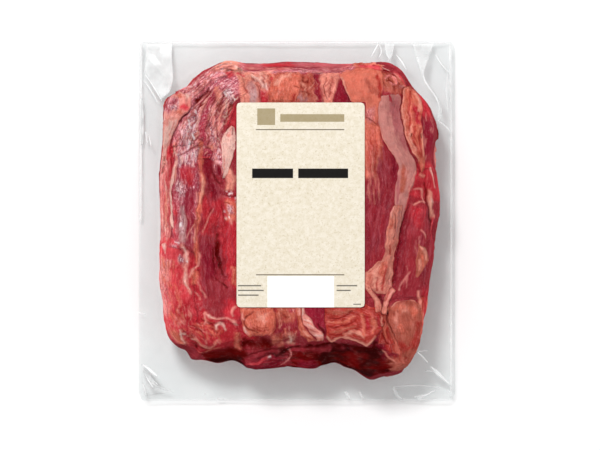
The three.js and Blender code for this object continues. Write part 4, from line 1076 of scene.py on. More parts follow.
def side_streaks():
    """The streaks, each as its tissue and two edges."""
    chance = np.random.default_rng(8)
    made = []
    for count in range(SIDE_STREAKS):
        angle = chance.uniform(-math.pi, math.pi) + np.linspace(0, chance.uniform(0.08, 0.4), 7)
        x, y = np.cos(angle), np.sin(angle)
        out = reach_at(x, y) + chance.uniform(18, 42) + np.cumsum(chance.normal(0, 0.9, 7))
        half = chance.uniform(0.5, 3.2)
        line = np.stack([x * out, y * out], axis=1)
        edges = band(line, [0.2, half, 0.7 * half, half, 0.2], 24)
        made.append((SIDE_TISSUES[count % len(SIDE_TISSUES)], *edges))
    return made


sides = side_streaks()
print(len(sides), "streaks round the sides")


# %% How all of them are laid
def lay_all(surface):
    """Lays every tissue of the lists, from the lowest to the topmost."""
    for seed, (left, right) in enumerate(FLOWS):
        surface.comb(curve_through(left), curve_through(right), seed)
    for tissue, left, right, rise, edge in EDGED:
        blur = max(1.2, 0.8 * edge)
        surface.lay(tissue, curve_through(left), curve_through(right), rise, edge, blur, ends=6)
    for tissue, left, right, rise, cover in drawn:
        surface.lay(tissue, left, right, rise, 0.7, blur=0.5, cover=cover)
    for tissue, line, halves, rise, edge in LINED:
        glare = tissue in ("haze", "veiled")
        soft = 0.6 + 0.3 * max(halves) + glare
        surface.lay(tissue, *band(line, halves), rise, edge, blur=soft, broken=0.8 if glare else 0.25)


# %% [markdown]
# In a few places the side of the meat swells over the border, and in others it is dented. Sculpting by hand
# would do that; here each is a smooth hump that moves the points outwards, so the film can follow it too.

# %% Bulges of the side
PUSHES = [
    # where, how wide, and how far out; a negative one is a dent
    (-81, -108, 5, 3.4),
    (-88.5, -101, 4, -1.4),
    (-60, -110, 7, 2.4),
    (-106, -62, 10, -1.4),
    (-108, -38, 12, -1.0),
    (36, -112, 9, 2.6),
    (55, -121, 7.5, 4.4),
    (79, -118, 8, 2.6),
    (88, -112, 6, 1.5),
    (100.5, -62, 16, 2.4),
]


def pushed(spots, share):
    """The points, moved outwards by the pushes in this share."""
    out = np.zeros(len(spots))
    for x, y, wide, far in PUSHES:
        out += far * np.exp(-((spots[:, 0] - x) ** 2 + (spots[:, 1] - y) ** 2) / wide**2)
    away = spots[:, :2] / np.maximum(np.hypot(spots[:, 0], spots[:, 1]), 1)[:, None]
    return np.c_[spots[:, :2] + away * (out * share)[:, None], spots[:, 2]]


spots = points_of(meat)
facing = normals_of(meat)
spots = pushed(spots, smoothstep(0.98, 0.6, np.abs(facing[:, 2])))
print("the side bulges at", len(PUSHES), "places")

# %% [markdown]
# The lists are drawn on a flat plan. Down the sides the plan is rolled off the slab, so that the tissues
# run on over the edge as they do over a real muscle, and aren't stretched.

# %% Lay the tissues on the meat
WALL_TOP = 44
LOW_SIDE = (33, 25)  # the tissues of the top end between these heights
outwards = facing[:, :2] / np.maximum(np.hypot(*facing[:, :2].T), 1e-6)[:, None]
unrolled = spots[:, :2] + outwards * np.clip(WALL_TOP - spots[:, 2], 0, None)[:, None]
surface = Surface(unrolled, spots[:, 2])
surface.grain = spots.copy()
lay_all(surface)
low_side = smoothstep(*LOW_SIDE, spots[:, 2])[:, None]
surface.tone += (flesh(TISSUES["muscle"][0]) - surface.tone) * low_side
surface.traits += (np.array(TISSUES["muscle"][1:]) - surface.traits) * low_side
for tissue, left, right in sides:
    surface.lay(tissue, left, right, 0.4, 2, blur=1.3, cover=0.95, broken=0.3)
print("lifted from", round(surface.lift.min(), 1), "to", round(surface.lift.max(), 1), "mm")

# %% Fibres and lumps
FIBRE_CELL, BUNDLE_CELL = (3.2, 26, 4), (9, 60, 12)
fibre = noise_at(surface.grain / FIBRE_CELL, 11)
bundle = noise_at(surface.grain / BUNDLE_CELL, 14)
lumps = noise_at(spots / 9, 12) + 0.5 * noise_at(spots / 4.5, 13)
fatty = surface.traits[:, 1]
stringy = surface.traits[:, 0]
relief = surface.lift + fibre * 0.5 * stringy + bundle * (0.4 + 0.6 * stringy)
relief = relief + lumps * (0.3 + 0.3 * fatty)
print("fibres and lumps stand", round(float(np.ptp(relief)), 1), "mm from lowest to highest")

# %% A drift of hue, and painted light and shade on the relief and the sides
drift = noise_at(spots / 13, 16)
bluer = 1.5 * drift + 0.5 * noise_at(spots / 13, 17)
surface.tone *= 1 + 0.06 * np.stack([noise_at(spots / 16, 15), 1.5 * drift, bluer], axis=1)
# painted light and shade: lighter where fibres, bundles and lumps stand up, darker in their hollows
surface.tone *= (1 + 0.22 * fibre * stringy + 0.1 * bundle + 0.1 * lumps)[:, None]
# painted light and shade of the sides: steep sides facing -Y, the lower edge, darker, the other steep sides
# lighter
steep = smoothstep(0.75, 0.15, facing[:, 2]) * (spots[:, 2] > 24)
surface.tone *= (1 + 0.35 * steep * (1 - 1.9 * np.clip(-facing[:, 1], 0, 1)))[:, None]
surface.dress(meat)
print("the meat has", len(meat.data.attributes), "layers")


# %% The new places of the points
def label_cover(places):
    """1 under the label, 0 from 3 mm beside it."""
    aside = np.maximum(LABEL_LOW.x - places[:, 0], places[:, 0] - LABEL_HIGH.x)
    beyond = np.maximum(LABEL_LOW.y - places[:, 1], places[:, 1] - LABEL_HIGH.y)
    return smoothstep(3, 0, aside) * smoothstep(3, 0, beyond)


FILM_GAP = 0.6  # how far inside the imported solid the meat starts, so that the film fits round it
LOWEST_MEAT = 0.4  # the film goes under the meat, so the meat stays off the table
under_label = label_cover(spots) * (spots[:, 2] > LABEL_LEVEL)
relief = np.where(spots[:, 2] < 2, 0, relief * (1 - under_label)) - FILM_GAP
placed = spots + facing * relief[:, None]
placed[:, 2] = np.maximum(placed[:, 2], LOWEST_MEAT)
place_points(meat, placed)
print("the meat is", [round(float(v)) for v in np.ptp(points_of(meat), axis=0)], "mm")
print("and has", sum(len(face.vertices) - 2 for face in meat.data.polygons), "triangles")

# %% [markdown]
# ## The finish of raw beef
# The finish reads the tone, grain and traits of each point. Fibres are noise drawn out along the grain,
# fat is a soft mottle, and both also bend the surface. A clear coat stands for the wet film that
# clings to the meat, and where a tissue is wet its glare is also painted on, as pale specks and a paler tone.


# %% Raw beef
def beef_finish():
    shader = Shader("raw_beef")
    tone = shader.attribute("tone", 0)
    grain = shader.attribute("grain", 1)
    traits = shader.node("ShaderNodeSeparateXYZ", {}, {0: shader.attribute("traits", 1)})
    fibres, fat, wet = [Wire(shader, output) for output in traits.socket.node.outputs]
    place = shader.place()
    coarse = shader.noise(shader.scaled(grain, (0.62, 0.08, 0.5)), 3, 0.65)
    fine = shader.noise(shader.scaled(grain, (1.3, 0.24, 1.3), (9, 4, 2)), 3, 0.7)
    mottle = shader.noise(shader.scaled(place, (0.18, 0.15, 0.18)), 4, 0.62)
    blotch = shader.noise(shader.scaled(place, (0.3, 0.34, 0.3), (7, 3, 1)), 3, 0.6, 0.6)
    specks = shader.noise(shader.scaled(place, (0.8, 0.7, 0.8)), 3, 0.7)
    combed = coarse.ramp(0.36, 0.62) * 0.45 + fine.ramp(0.38, 0.62) * 0.55
    deeper = shader.mix(1.0, tone, (0.44, 0.19, 0.23, 1), "MULTIPLY")
    paler = shader.mix(1.0, tone, (1.5, 1.4, 1.4, 1), "MULTIPLY")
    # on wet tissues the pale streaks are paler still: a painted sheen of the wet film
    paler = shader.mix(0.25 + wet * 0.35, paler, linear("f8c4c0"))
    redder = shader.mix(1.0, tone, (0.86, 0.48, 0.46, 1), "MULTIPLY")
    value = (
        (combed - 0.5) * (0.1 + fibres * 0.95)
        + (mottle - 0.5) * (0.4 + fibres * 0.7 + fat * 0.5)
        + (specks - 0.5) * (0.15 + fibres * 0.5 + wet * 1.4 + fat * 0.3)
    )
    colour = shader.mix((0.02 - value).clamped() * 1.7, tone, deeper)
    colour = shader.mix(blotch.ramp(0.46, 0.66) * (fibres * 0.2 + fat * 0.5), colour, redder)
    colour = shader.mix((value - 0.02).clamped() * (0.7 + fat * 0.8 + fibres * 0.7 + wet), colour, paler)
    # painted glare: pale specks where the tissue is wet
    glare = (specks * 0.5 + fine * 0.5).ramp(0.53, 0.61) * (wet - 0.15).clamped() * 1.15
    colour = shader.mix(glare, colour, linear("fae6e8"))
    height = combed * (0.4 + fibres) + specks * (0.3 + fibres + fat * 0.5) + mottle
    bump = shader.node("ShaderNodeBump", {}, {"Strength": 0.9, "Distance": 0.7 * MM, "Height": height})
    return shader.finish(
        shader.node(
            "ShaderNodeBsdfPrincipled",
            {},
            {
                "Base Color": colour,
                "Roughness": 0.52 + (specks - 0.5) * 0.3,
                "Normal": bump,
                "Specular IOR Level": 0.0,
                "Subsurface Weight": 0.08,
                "Subsurface Radius": (1.0, 0.25, 0.15),
                "Subsurface Scale": 1.2 * MM,
                "Coat Weight": wet * 0.5,
                "Coat Roughness": 0.14,
                "Coat IOR": 1.45,
            },
        )
    )


raw_beef = beef_finish()
meat.data.materials.append(raw_beef)
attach(meat, "root")
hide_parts("pouch")
print("finished", raw_beef.name)

# %% [markdown]
# ## Flaps that lie loose on the meat
# Silverskin and fat are cut through where the piece was trimmed, so their edges stand up from the muscle.
# Each flap is a grid primitive whose points are laid between two edges and dropped on the meat, then
# given a thickness that reaches into the meat, so that no gap shows.


# %% Dropping points on what is already there
laid = []


def lay_down(obj):
    """Remembers a piece, so that later ones can lie on it."""
    faces = [tuple(face.vertices) for face in obj.data.polygons]
    laid.append(BVHTree.FromPolygons(points_of(obj).tolist(), faces))


def height_below(places):
    """The height of the highest piece under each place."""
    down = Vector((0, 0, -1))
    found = np.full(len(places), -1.0)
    for tree in laid:
        hits = [tree.ray_cast(Vector((x, y, 200)), down)[0] for x, y in places]
        found = np.maximum(found, [hit.z if hit else -1.0 for hit in hits])
    return found


LOWEST_FLAP = 34  # flaps end here and don't hang over the side
print("the meat is there to lie on, and flaps stay above", LOWEST_FLAP, "mm")


# %% A grid between two edges
def strip_grid(left, right, across, along):
    """A grid primitive, its points' shares across and along, and their places between two edges."""
    bpy.ops.mesh.primitive_grid_add(x_subdivisions=across, y_subdivisions=along, size=1)
    grid = bpy.context.object
    u, v = (points_of(grid)[:, :2] * MM + 0.5).T
    index = np.arange(len(left)) / (len(left) - 1)
    west, east = [
        np.stack([np.interp(v, index, side[:, i]) for i in (0, 1)], axis=1) for side in (left, right)
    ]
    return grid, u, v, west + (east - west) * u[:, None]


# %% One flap
FLAP_STEP = 0.6
FLAP_WALL = 1.4
FLAP_PULLS, FLAP_PULL = 14, 0.7  # how often, and by how much, a hanging point is pulled inwards
FLAP_SMOOTHINGS = 5


def flap(name, tissue, left, right, thick, edge, strokes=(), blend=0.8, folded=0.4):
    """A strip of tissue between two edges. blend is how softly its colour runs into the meat's, and
    folded is how strongly it is creased lengthways, in its shape and in the painted light and shade of its
    creases."""
    left, right = curve_through(left, 80), curve_through(right, 80)
    ring = np.vstack([left, right[::-1]])
    if (ring[:, 0] * np.roll(ring[:, 1], -1) - np.roll(ring[:, 0], -1) * ring[:, 1]).sum() > 0:
        left, right = right, left
    length, width = strip_size(left, right)
    across, along = max(6, round(width / FLAP_STEP)), max(6, round(length / FLAP_STEP))
    obj, u, v, ideal = strip_grid(left, right, across, along)
    obj.name = name
    depth = np.maximum(depth_inside(ideal, left, right), 0)
    places = ideal - wobble(ideal, height_below(ideal))
    base = height_below(places)
    for _ in range(FLAP_PULLS):
        hanging = base < LOWEST_FLAP
        if hanging.any():
            places[hanging] *= 1 - FLAP_PULL / np.hypot(*places[hanging].T)[:, None]
            base[hanging] = height_below(places[hanging])
    base = np.maximum(base, LOWEST_FLAP).reshape(along + 1, across + 1)
    for _ in range(FLAP_SMOOTHINGS):
        padded = np.pad(base, 1, mode="edge")
        total = 2 * base + padded[:-2, 1:-1] + padded[2:, 1:-1]
        base = (total + padded[1:-1, :-2] + padded[1:-1, 2:]) / 6
    base = base.ravel()
    cover = label_cover(places)
    seed = sum(map(ord, name))
    top = Surface(places, base)
    lay_all(top)
    top.lift[:] = 0
    top.lay(tissue, left, right, blur=blend)
    top.grain = np.c_[(u - 0.5) * width + seed, v * length, base * 0]
    for stroke, line, halves, rise in strokes:
        top.lay(stroke, *band(line, halves), rise, 1.0, blur=min(2.6, 0.4 + 0.5 * max(halves)))
    bulge = np.sqrt(1 - (1 - np.clip(depth / edge, 0, 1)) ** 2)
    folds = noise_at(top.grain / (3.5, 22, 3), seed)
    uneven = noise_at(np.c_[places, base] / 6, seed) * (0.8 - folded) + folds * folded
    patchy = noise_at(np.c_[places, base] / 4, seed + 1)
    # painted light and shade of the creases: lighter on their ridges, darker in their hollows; patchy is a
    # random tone
    top.tone *= (1 + 0.35 * folded * folds + 0.12 * patchy)[:, None]
    lift = (thick + top.lift + uneven * min(thick, 1.2)) * bulge * (1 - cover) - 0.1
    place_points(obj, np.c_[places, base + lift])
    top.dress(obj)
    add_modifier(obj, "SOLIDIFY", thickness=FLAP_WALL * MM, offset=-1, use_rim=True)
    choose(obj)
    bpy.ops.object.mode_set(mode="EDIT")
    bpy.ops.mesh.select_all(action="SELECT")
    bpy.ops.mesh.normals_make_consistent(inside=False)
    bpy.ops.object.mode_set(mode="OBJECT")
    bpy.ops.object.shade_smooth()
    obj.data.materials.append(raw_beef)
    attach(obj, "root")
    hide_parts("pouch")
    lay_down(obj)
    print(name, "is", round(length), "by", round(width), "mm and has", len(obj.data.polygons), "faces")
    return obj


lay_down(meat)

# %% Flaps on the right
flap(
    "silverskin",
    "silver",
    [(71, 98.6), (65, 97), (62.3, 93.4), (61.6, 88), (62.3, 80), (66, 66), (71, 57), (76.4, 49.5),
     (80, 41.7), (78, 35), (76.4, 27), (76, 19), (77, 8), (78.5, 0)],
    [(79, 99.4), (80.6, 97), (81, 92), (81.2, 86), (82.4, 77), (84.6, 68), (88, 58), (91, 50),
     (92.8, 42), (92.4, 36), (90.6, 28), (88.8, 20), (85, 8), (82, 0)],
    0.5,
    2.5,
    [
        ("mauve", [(76, 97), (77, 86), (79, 74), (83, 64), (86, 56)], [4.5, 4.5, 4, 3, 1.5], 0),
        ("sinew", [(65, 68.5), (70.5, 58.5), (75.5, 50.5), (79.5, 43.5)], [0.3, 0.4, 0.4, 0.3], 0.2),
        ("tan", [(84, 44), (83, 34), (82, 22)], [1.6, 2.6, 2], 0),
        ("mauve", [(79, 36), (78.2, 26), (79, 12)], [1, 1.4, 1], 0),
        ("red", [(88.6, 27), (88, 17), (85, 8)], [0.9, 1, 0.7], 0),
        ("blush", [(92, 40), (90, 31), (87.3, 22)], [0.5, 0.6, 0.5], 0.2),
    ],
    folded=0.15,
)
flap(
    "outer_fat",
    "fat",
    [(85.5, 105.5), (82.3, 99), (81.6, 88), (83, 76), (85, 68), (89, 58.5), (94, 47), (97, 38)],
    [(89, 107), (94, 101), (97.6, 95), (98.8, 89), (96.8, 81), (97.4, 73), (98.4, 65.4), (99.8, 53),
     (99.8, 43), (98.4, 38)],
    1.5,
    2.2,
    [
        ("paler_fat", [(85, 104), (82.9, 97), (82.6, 88), (84, 76), (86, 68), (90, 58), (95, 47)],
         [0.6, 0.9, 0.9, 0.8, 0.7, 0.6, 0.4], 0.4),
        ("red", [(93.5, 90), (93.5, 82), (95, 75)], [1.2, 2.6, 1.6], -0.7),
        ("ruddy_fat", [(90, 103), (89, 92), (88, 80), (89, 70)], [0.6, 0.9, 1, 0.5], -0.4),
        ("ruddy_fat", [(92, 74), (92, 62), (96, 50)], [0.7, 0.9, 0.6], -0.6),
        ("ruddy_fat", [(96, 72), (95.5, 60), (97.5, 50)], [0.8, 0.9, 0.7], -0.6),
        ("paler_fat", [(93.5, 100), (96.5, 93), (95, 86)], [0.8, 1.2, 0.7], 0.3),
        ("paler_fat", [(90, 76), (89, 66), (93, 55)], [0.5, 0.8, 0.5], 0.2),
        ("paler_fat", [(97, 70), (98, 60), (99, 50)], [0.4, 0.7, 0.4], 0.2),
        ("cleft_shade", [(90.2, 69), (90, 66.5)], [0.5, 0.5], -0.6),
        ("cleft_shade", [(96.8, 67), (97, 64)], [0.4, 0.4], -0.6),
    ],
)
flap(
    "corner_fat",
    "smooth_fat",
    [(46, 80), (43, 90), (40.5, 97), (37, 105), (33.6, 112.5), (37, 118), (47, 120.5)],
    [(62, 73), (63.5, 82), (65, 92), (66, 98), (67.5, 106), (67.5, 113), (65, 120)],
    0.8,
    2.4,
    [
        ("paler_fat", [(41.6, 94), (37.8, 104), (34.5, 112)], [0.6, 0.8, 0.6], 0.3),
        ("tan", [(52, 112), (58, 106), (60, 98)], [2, 3.4, 2.4], 0),
        ("ruddy_fat", [(62, 114), (65, 104), (64, 96)], [1, 1.4, 1], 0),
        ("fat", [(40, 116), (50, 118), (62, 117)], [1, 1.2, 1.2], 0),
        ("rosy", [(56.5, 89), (57, 83), (59, 78)], [4, 4, 2.4], 0),
        ("deep", [(54, 81), (58, 78), (62.3, 75)], [0.2, 0.35, 0.3], -0.3),
    ],
    blend=1.6,
    folded=0.1,
)
flap(
    "top_right_edge",
    "fat",
    [(42, 119.5), (52, 118.5), (60, 117.5), (67, 117)],
    [(45, 127), (54, 128), (62, 127), (69, 124)],
    0.9,
    2,
    [("bright", [(48, 121), (58, 120), (65, 119.6)], [1.8, 1.8, 1.8], 0),
     ("blush", [(50, 125), (62, 124)], [0.8, 0.8], 0)],
    blend=2,
)
flap(
    "twisted_strip",
    "sinew",
    [(76.4, 12), (73.4, 8), (72, 4.6), (71.4, -3), (69.6, -11), (67.6, -19), (69.1, -22.9),
     (66.6, -29.8), (62.2, -31.7), (55.8, -39.1), (52.9, -40.6), (52, -50)],
    [(83, 12), (82.4, 6), (81.4, -1), (79.4, -12), (77.4, -21), (75.8, -29), (74.6, -37), (75, -45),
     (75, -52), (70, -57), (62, -56)],
    1.4,
    2,
    [
        ("blush", [(75.6, 10), (73.4, 5.6), (74.4, 3)], [0.9, 0.9, 0.6], 0.4),
        ("amber", [(74.6, 1), (73.6, -6)], [0.9, 1.2], 0.2),
        ("silver", [(80.4, 8), (79.4, -2), (77.6, -12)], [2, 2.2, 1.2], -0.2),
        ("deep", [(77, 6), (76.6, -6), (75.6, -14)], [0.25, 0.3, 0.2], -0.3),
        ("amber", [(69, -31), (66, -35), (65, -42)], [1.4, 2.6, 1.6], 0),
        ("ruddy_fat", [(72.6, -18), (72.2, -26)], [0.5, 0.7], -0.3),
        ("ruddy_fat", [(70, -34), (67.5, -44), (66, -54)], [0.6, 1, 0.9], -0.4),
        ("paler_fat", [(64.5, -33), (60.5, -41), (60.5, -52)], [0.8, 1.4, 1], 0.4),
        ("tan", [(57, -42), (56.5, -50)], [1.8, 1.6], -0.2),
        ("ruddy_fat", [(62.4, -44), (62.2, -54)], [0.4, 0.6], -0.6),
        ("paler_fat", [(72.5, -36), (72, -46)], [0.8, 0.8], 0.3),
        ("blush", [(73.5, -44), (73.5, -51)], [1.2, 1.6], 0.2),
    ],
)
flap(
    "oval_patch",
    "tan",
    [(95.2, -17.4), (94.7, -24.3), (92.4, -31), (93, -37), (93.4, -43.5)],
    [(97, -17.8), (101, -21.3), (103.5, -27.2), (103, -32), (99, -37.5), (95, -43.8)],
    0.8,
    1.6,
    [
        ("paler_fat", [(97, -20), (101, -25), (101.5, -31)], [0.8, 1.2, 0.8], 0.2),
        ("paler_fat", [(95.5, -30), (96, -38)], [1, 0.8], 0.2),
        ("fat", [(98, -27), (98, -35)], [1.2, 1], 0),
    ],
)

# %% Flaps at the lower edge
flap(
    "lower_lobe",
    "tan",
    [(76, -63.5), (71.5, -68.5), (70.6, -77), (74.6, -85.2), (78.5, -94), (81, -100), (83, -106)],
    [(92, -62), (96, -66), (98, -76), (97, -88), (94, -98), (91, -104), (88, -108)],
    1.6,
    4,
    [
        ("paler_fat", [(73.6, -66.8), (78.5, -62.9), (85.4, -61.6), (92.2, -63)], [0.5, 0.8, 0.9, 0.5],
         0.2),
        ("sinew", [(77.5, -70), (76.6, -78), (79, -84)], [1.2, 1.8, 1.4], 0),
        ("amber", [(80, -81), (83.5, -88)], [2.2, 2.4], 0),
        ("sinew", [(81, -72), (86, -70)], [1.6, 1.8], 0.2),
        ("tan", [(86, -90), (88, -97)], [2.4, 2.4], 0.2),
        ("fat", [(76, -68), (82, -70)], [2.5, 2.5], 0),
        ("tan", [(83, -75), (90, -76)], [2.2, 2.2], 0),
        ("fat", [(90, -68), (93, -74)], [2, 2], 0),
        ("ruddy_fat", [(95, -78), (94, -90), (91, -100)], [2, 3, 3], 0),
        ("ruddy_fat", [(80, -94), (85, -102)], [1.6, 2.6], 0),
    ],
    blend=2.4,
    folded=0.15,
)
flap(
    "ridge_beside_lobe",
    "ruddy_fat",
    [(66, -71), (67, -80), (64.5, -90), (64, -96)],
    [(69.5, -71), (70, -80), (73.6, -87), (77, -96)],
    1.0,
    1.8,
    [("fat", [(68, -74), (68.6, -84), (70, -92)], [0.7, 1, 0.8], 0.3),
     ("deep", [(67, -88), (72, -97)], [0.5, 0.6], -0.5)],
    blend=1.6,
)
flap(
    "fat_slab",
    "ruddy_fat",
    [(21, -62), (32, -61), (45, -61), (56, -66), (64, -69), (69, -78)],
    [(22.4, -91.5), (26.6, -94.7), (33.5, -91.8), (42.8, -93.5), (50, -96.2), (54.3, -97),
     (62.4, -91.2), (67, -86)],
    2.0,
    1.6,
    [
        ("tan", [(24, -70), (34, -71.5), (46, -68)], [1.4, 1.8, 1.4], 0.2),
        ("deep", [(24, -76), (34, -76), (44, -70)], [0.3, 0.4, 0.3], -0.5),
        ("fat", [(24, -79), (34, -79.5), (45, -74)], [0.7, 1, 0.7], 0.2),
        ("deep", [(24, -83), (34, -82.5), (46, -77)], [0.3, 0.4, 0.3], -0.5),
        ("tan", [(25, -86), (35, -85), (46, -81)], [0.8, 1.2, 0.8], 0.2),
        ("deep", [(25, -89), (36, -87.5), (48, -84)], [0.3, 0.4, 0.3], -0.5),
        ("paler_fat", [(37, -89), (44, -87.5), (53, -90)], [1, 2.2, 1.6], 0.2),
        ("paler_fat",
         [(22.8, -90.8), (26.8, -93.8), (33.5, -90.9), (42.8, -92.6), (50, -95.2), (54.3, -96),
          (62, -90.4)], [0.5, 0.8, 0.6, 0.8, 0.9, 0.8, 0.5], 0.3),
        ("fat", [(50, -72), (52, -80), (53, -90)], [0.8, 1.2, 0.8], 0.3),
        ("fat", [(57, -72), (60, -80), (60, -88)], [0.8, 1.3, 0.9], 0.3),
        ("red", [(54, -74), (56, -84)], [0.8, 1.2], -0.4),
        ("red", [(63, -74), (64.5, -84)], [0.8, 1.2], -0.4),
        ("paler_fat", [(66.5, -74), (67, -82)], [0.5, 0.6], 0.3),
    ],
)
flap(
    "fat_lump",
    "fat",
    [(-44, -62), (-44.5, -72), (-42.5, -80), (-42, -86), (-38, -90)],
    [(-20, -62), (-17.5, -72), (-16.7, -82), (-19, -88.5), (-24, -90)],
    1.8,
    4,
    [
        ("paler_fat", [(-31, -74), (-25, -76)], [2.6, 3.4], 0),
        ("deep", [(-33.5, -70.9), (-38.6, -74.6), (-40.7, -78.8), (-37.8, -84.5), (-30.7, -88)],
         [0.3, 0.5, 0.6, 0.5, 0.3], -0.7),
        ("ruddy_fat", [(-36, -79), (-34.4, -84), (-28, -86.4), (-21, -85)], [0.5, 0.6, 0.6, 0.4], -0.4),
        ("ruddy_fat", [(-34, -81), (-29, -84), (-23, -83)], [0.3, 0.4, 0.3], -0.3),
        ("amber", [(-43, -66), (-38, -68), (-34, -66)], [1.6, 1.8, 1.4], -0.2),
        ("blush", [(-43, -72), (-41, -77)], [1, 0.8], 0.3),
        ("blush", [(-41.6, -82), (-39.6, -88)], [1.2, 1.6], 0.2),
        ("cream", [(-41, -83), (-40, -87)], [0.4, 0.5], 0.2),
        ("deep", [(-30, -62), (-24, -64)], [0.8, 0.6], -0.4),
    ],
    blend=1.8,
    folded=0.05,
)
flap(
    "fat_band",
    "fat",
    [(-2, -62), (-1.2, -72), (0, -80), (3, -88), (9, -95)],
    [(3.6, -62), (3.8, -72), (5.2, -80), (9, -86), (16, -94)],
    1.1,
    1.8,
    [
        ("blush", [(1, -66), (1.6, -74)], [0.8, 0.8], 0.2),
        ("ruddy_fat", [(-0.2, -74), (1.4, -82)], [0.4, 0.5], -0.3),
        ("paler_fat", [(5, -85), (10, -90)], [0.6, 0.8], 0.2),
        ("ruddy_fat", [(6, -90), (12, -94)], [0.6, 0.7], -0.3),
    ],
    blend=1.4,
)
flap(
    "cream_band",
    "blush",
    [(3.2, -62), (3.4, -70), (4.6, -79), (8, -84), (14, -90.5), (16, -94)],
    [(7, -62), (7.2, -71), (12.4, -78), (16.2, -83), (20.8, -88.5), (21, -94)],
    1.3,
    2,
    [
        ("cream", [(4.6, -66), (5, -74)], [0.7, 0.8], 0.2),
        ("cream", [(5.6, -77.4), (12, -79.4)], [0.4, 0.6], 0.3),
        ("amber", [(5.6, -78.8), (12, -80.8)], [0.25, 0.3], -0.4),
        ("cream", [(8, -81.4), (14, -83)], [0.4, 0.5], 0.3),
        ("ruddy_fat", [(9, -84), (16, -86)], [0.25, 0.35], -0.4),
        ("cream", [(14, -88.6), (20, -90)], [0.8, 1], 0.2),
        ("fat", [(15, -92.4), (20, -93)], [0.6, 0.6], 0),
    ],
    blend=1.2,
)
flap(
    "left_sinew",
    "sinew",
    [(51, -49), (55, -55), (58.6, -60), (60, -66), (61, -72)],
    [(57, -50), (61, -56), (64.2, -62), (66, -67), (66.4, -72)],
    1.3,
    1.6,
    [
        ("paler_fat", [(54, -52), (60, -58.5), (63, -66)], [0.6, 0.8, 0.6], 0.2),
        ("ruddy_fat", [(55, -56), (59, -63)], [0.5, 0.6], -0.2),
    ],
    blend=1.4,
)
flap(
    "right_sinew",
    "sinew",
    [(73, -51), (68.6, -58), (66.6, -65), (65.6, -72)],
    [(78, -54), (73, -60.6), (71, -67), (69.6, -74)],
    1.4,
    1.6,
    [
        ("blush", [(75.6, -54), (70.8, -60), (68.8, -67)], [0.8, 0.9, 0.6], 0.2),
        ("ruddy_fat", [(72, -55), (68.6, -62)], [0.4, 0.5], -0.3),
    ],
    blend=1.4,
)

# %% Flaps on the left and at the top
flap(
    "corner_lobe",
    "blush",
    [(-106.2, 38), (-106.6, 50), (-106.2, 62), (-105.6, 74), (-104.5, 86), (-101.5, 96), (-96, 102.6)],
    [(-104.8, 38), (-102.8, 48), (-100.6, 60), (-96.8, 69), (-91.4, 78), (-86.4, 84), (-82.4, 90),
     (-84.4, 98), (-90, 101)],
    1.3,
    2.5,
    [
        ("cream", [(-104, 48), (-102.6, 60), (-100, 71), (-96.5, 79)], [0.6, 1.6, 3, 2.6], 0),
        ("blush", [(-101.6, 60), (-98.4, 72), (-95, 78)], [0.3, 0.5, 0.4], 0.2),
        ("rose", [(-102, 86), (-98, 93), (-93, 93)], [2.4, 3.4, 3], 0),
        ("haze", [(-99, 88), (-95, 90)], [1.6, 1.6], 0),
        ("bright", [(-95.6, 102), (-93, 99.4)], [0.9, 1.2], 0),
        ("fat", [(-92.4, 99), (-91, 96)], [1, 1.2], 0.2),
        ("cream", [(-87.6, 99), (-85.6, 96.6)], [1.4, 1.2], 0.2),
        ("bright", [(-91, 90.6), (-87, 89), (-84, 91)], [1.2, 2.2, 1.4], -0.2),
        ("amber", [(-92, 86.4), (-89.4, 83.6)], [1.4, 1.6], 0),
        ("sinew", [(-85, 92), (-83.6, 90)], [0.8, 0.7], 0.3),
    ],
    blend=1.6,
)
flap(
    "membrane",
    "cream",
    [(-51.6, 75), (-56, 69), (-58.6, 62.4), (-59, 54), (-59, 47), (-58.8, 40), (-57.4, 33.4)],
    [(-49.6, 73.4), (-48, 67), (-46.4, 61), (-47.4, 55), (-50.8, 49), (-53.2, 42), (-55.8, 34)],
    0.8,
    1.6,
    [("blush", [(-52, 74), (-53, 66)], [1, 1.4], 0),
     ("blush", [(-57.6, 50), (-57.2, 40)], [0.5, 0.5], 0),
     ("deep", [(-50.8, 73), (-50.6, 67)], [0.2, 0.4], -0.4)],
    folded=0.1,
)
flap(
    "cream_strip",
    "blush",
    [(-95.6, 53), (-96.5, 46), (-98, 36), (-99.4, 25), (-100.4, 12), (-99.2, 0), (-98, -5)],
    [(-94.6, 53), (-94, 46), (-95.2, 36), (-97, 25), (-97.4, 12), (-96, 0), (-96.4, -7)],
    0.7,
    1.2,
    [("cream", [(-95, 48), (-96.4, 36), (-98, 24), (-98.4, 10), (-97, -4)], [0.3, 0.7, 0.8, 0.9, 1],
      0.2)],
    blend=1.0,
)
flap(
    "top_lump",
    "fat",
    [(-20, 88), (-22, 100), (-20, 110), (-15, 116)],
    [(-3, 88), (2, 102), (4.5, 110), (2, 117.5)],
    1.3,
    3,
    [
        ("paler_fat", [(-16, 106), (-12, 112), (-4, 114)], [2, 2.4, 1.6], 0),
        ("amber", [(-17, 92), (-14, 100), (-9, 106)], [1.2, 1.8, 1.2], 0),
        ("ruddy_fat", [(-4, 92), (-2, 100)], [1.2, 1], -0.2),
        ("deep", [(-3, 106), (1, 104)], [0.25, 0.3], -0.3),
    ],
    blend=2.6,
    folded=0.1,
)
flap(
    "red_knot",
    "ridge",
    [(-73.6, 48.6), (-74.6, 52), (-72.6, 56.6)],
    [(-67, 48), (-65.4, 52), (-67.4, 56.8)],
    1.6,
    2.2,
    [
        ("bright", [(-74, 50), (-71, 48.8), (-67.4, 49.6)], [0.6, 0.8, 0.6], 0.2),
        ("blush", [(-72.4, 52), (-70.4, 54)], [0.5, 0.5], 0.2),
        ("deep", [(-72, 50.6), (-69, 52.6)], [0.3, 0.3], -0.4),
    ],
    blend=1.2,
)
print(len(laid), "pieces of meat and fat")

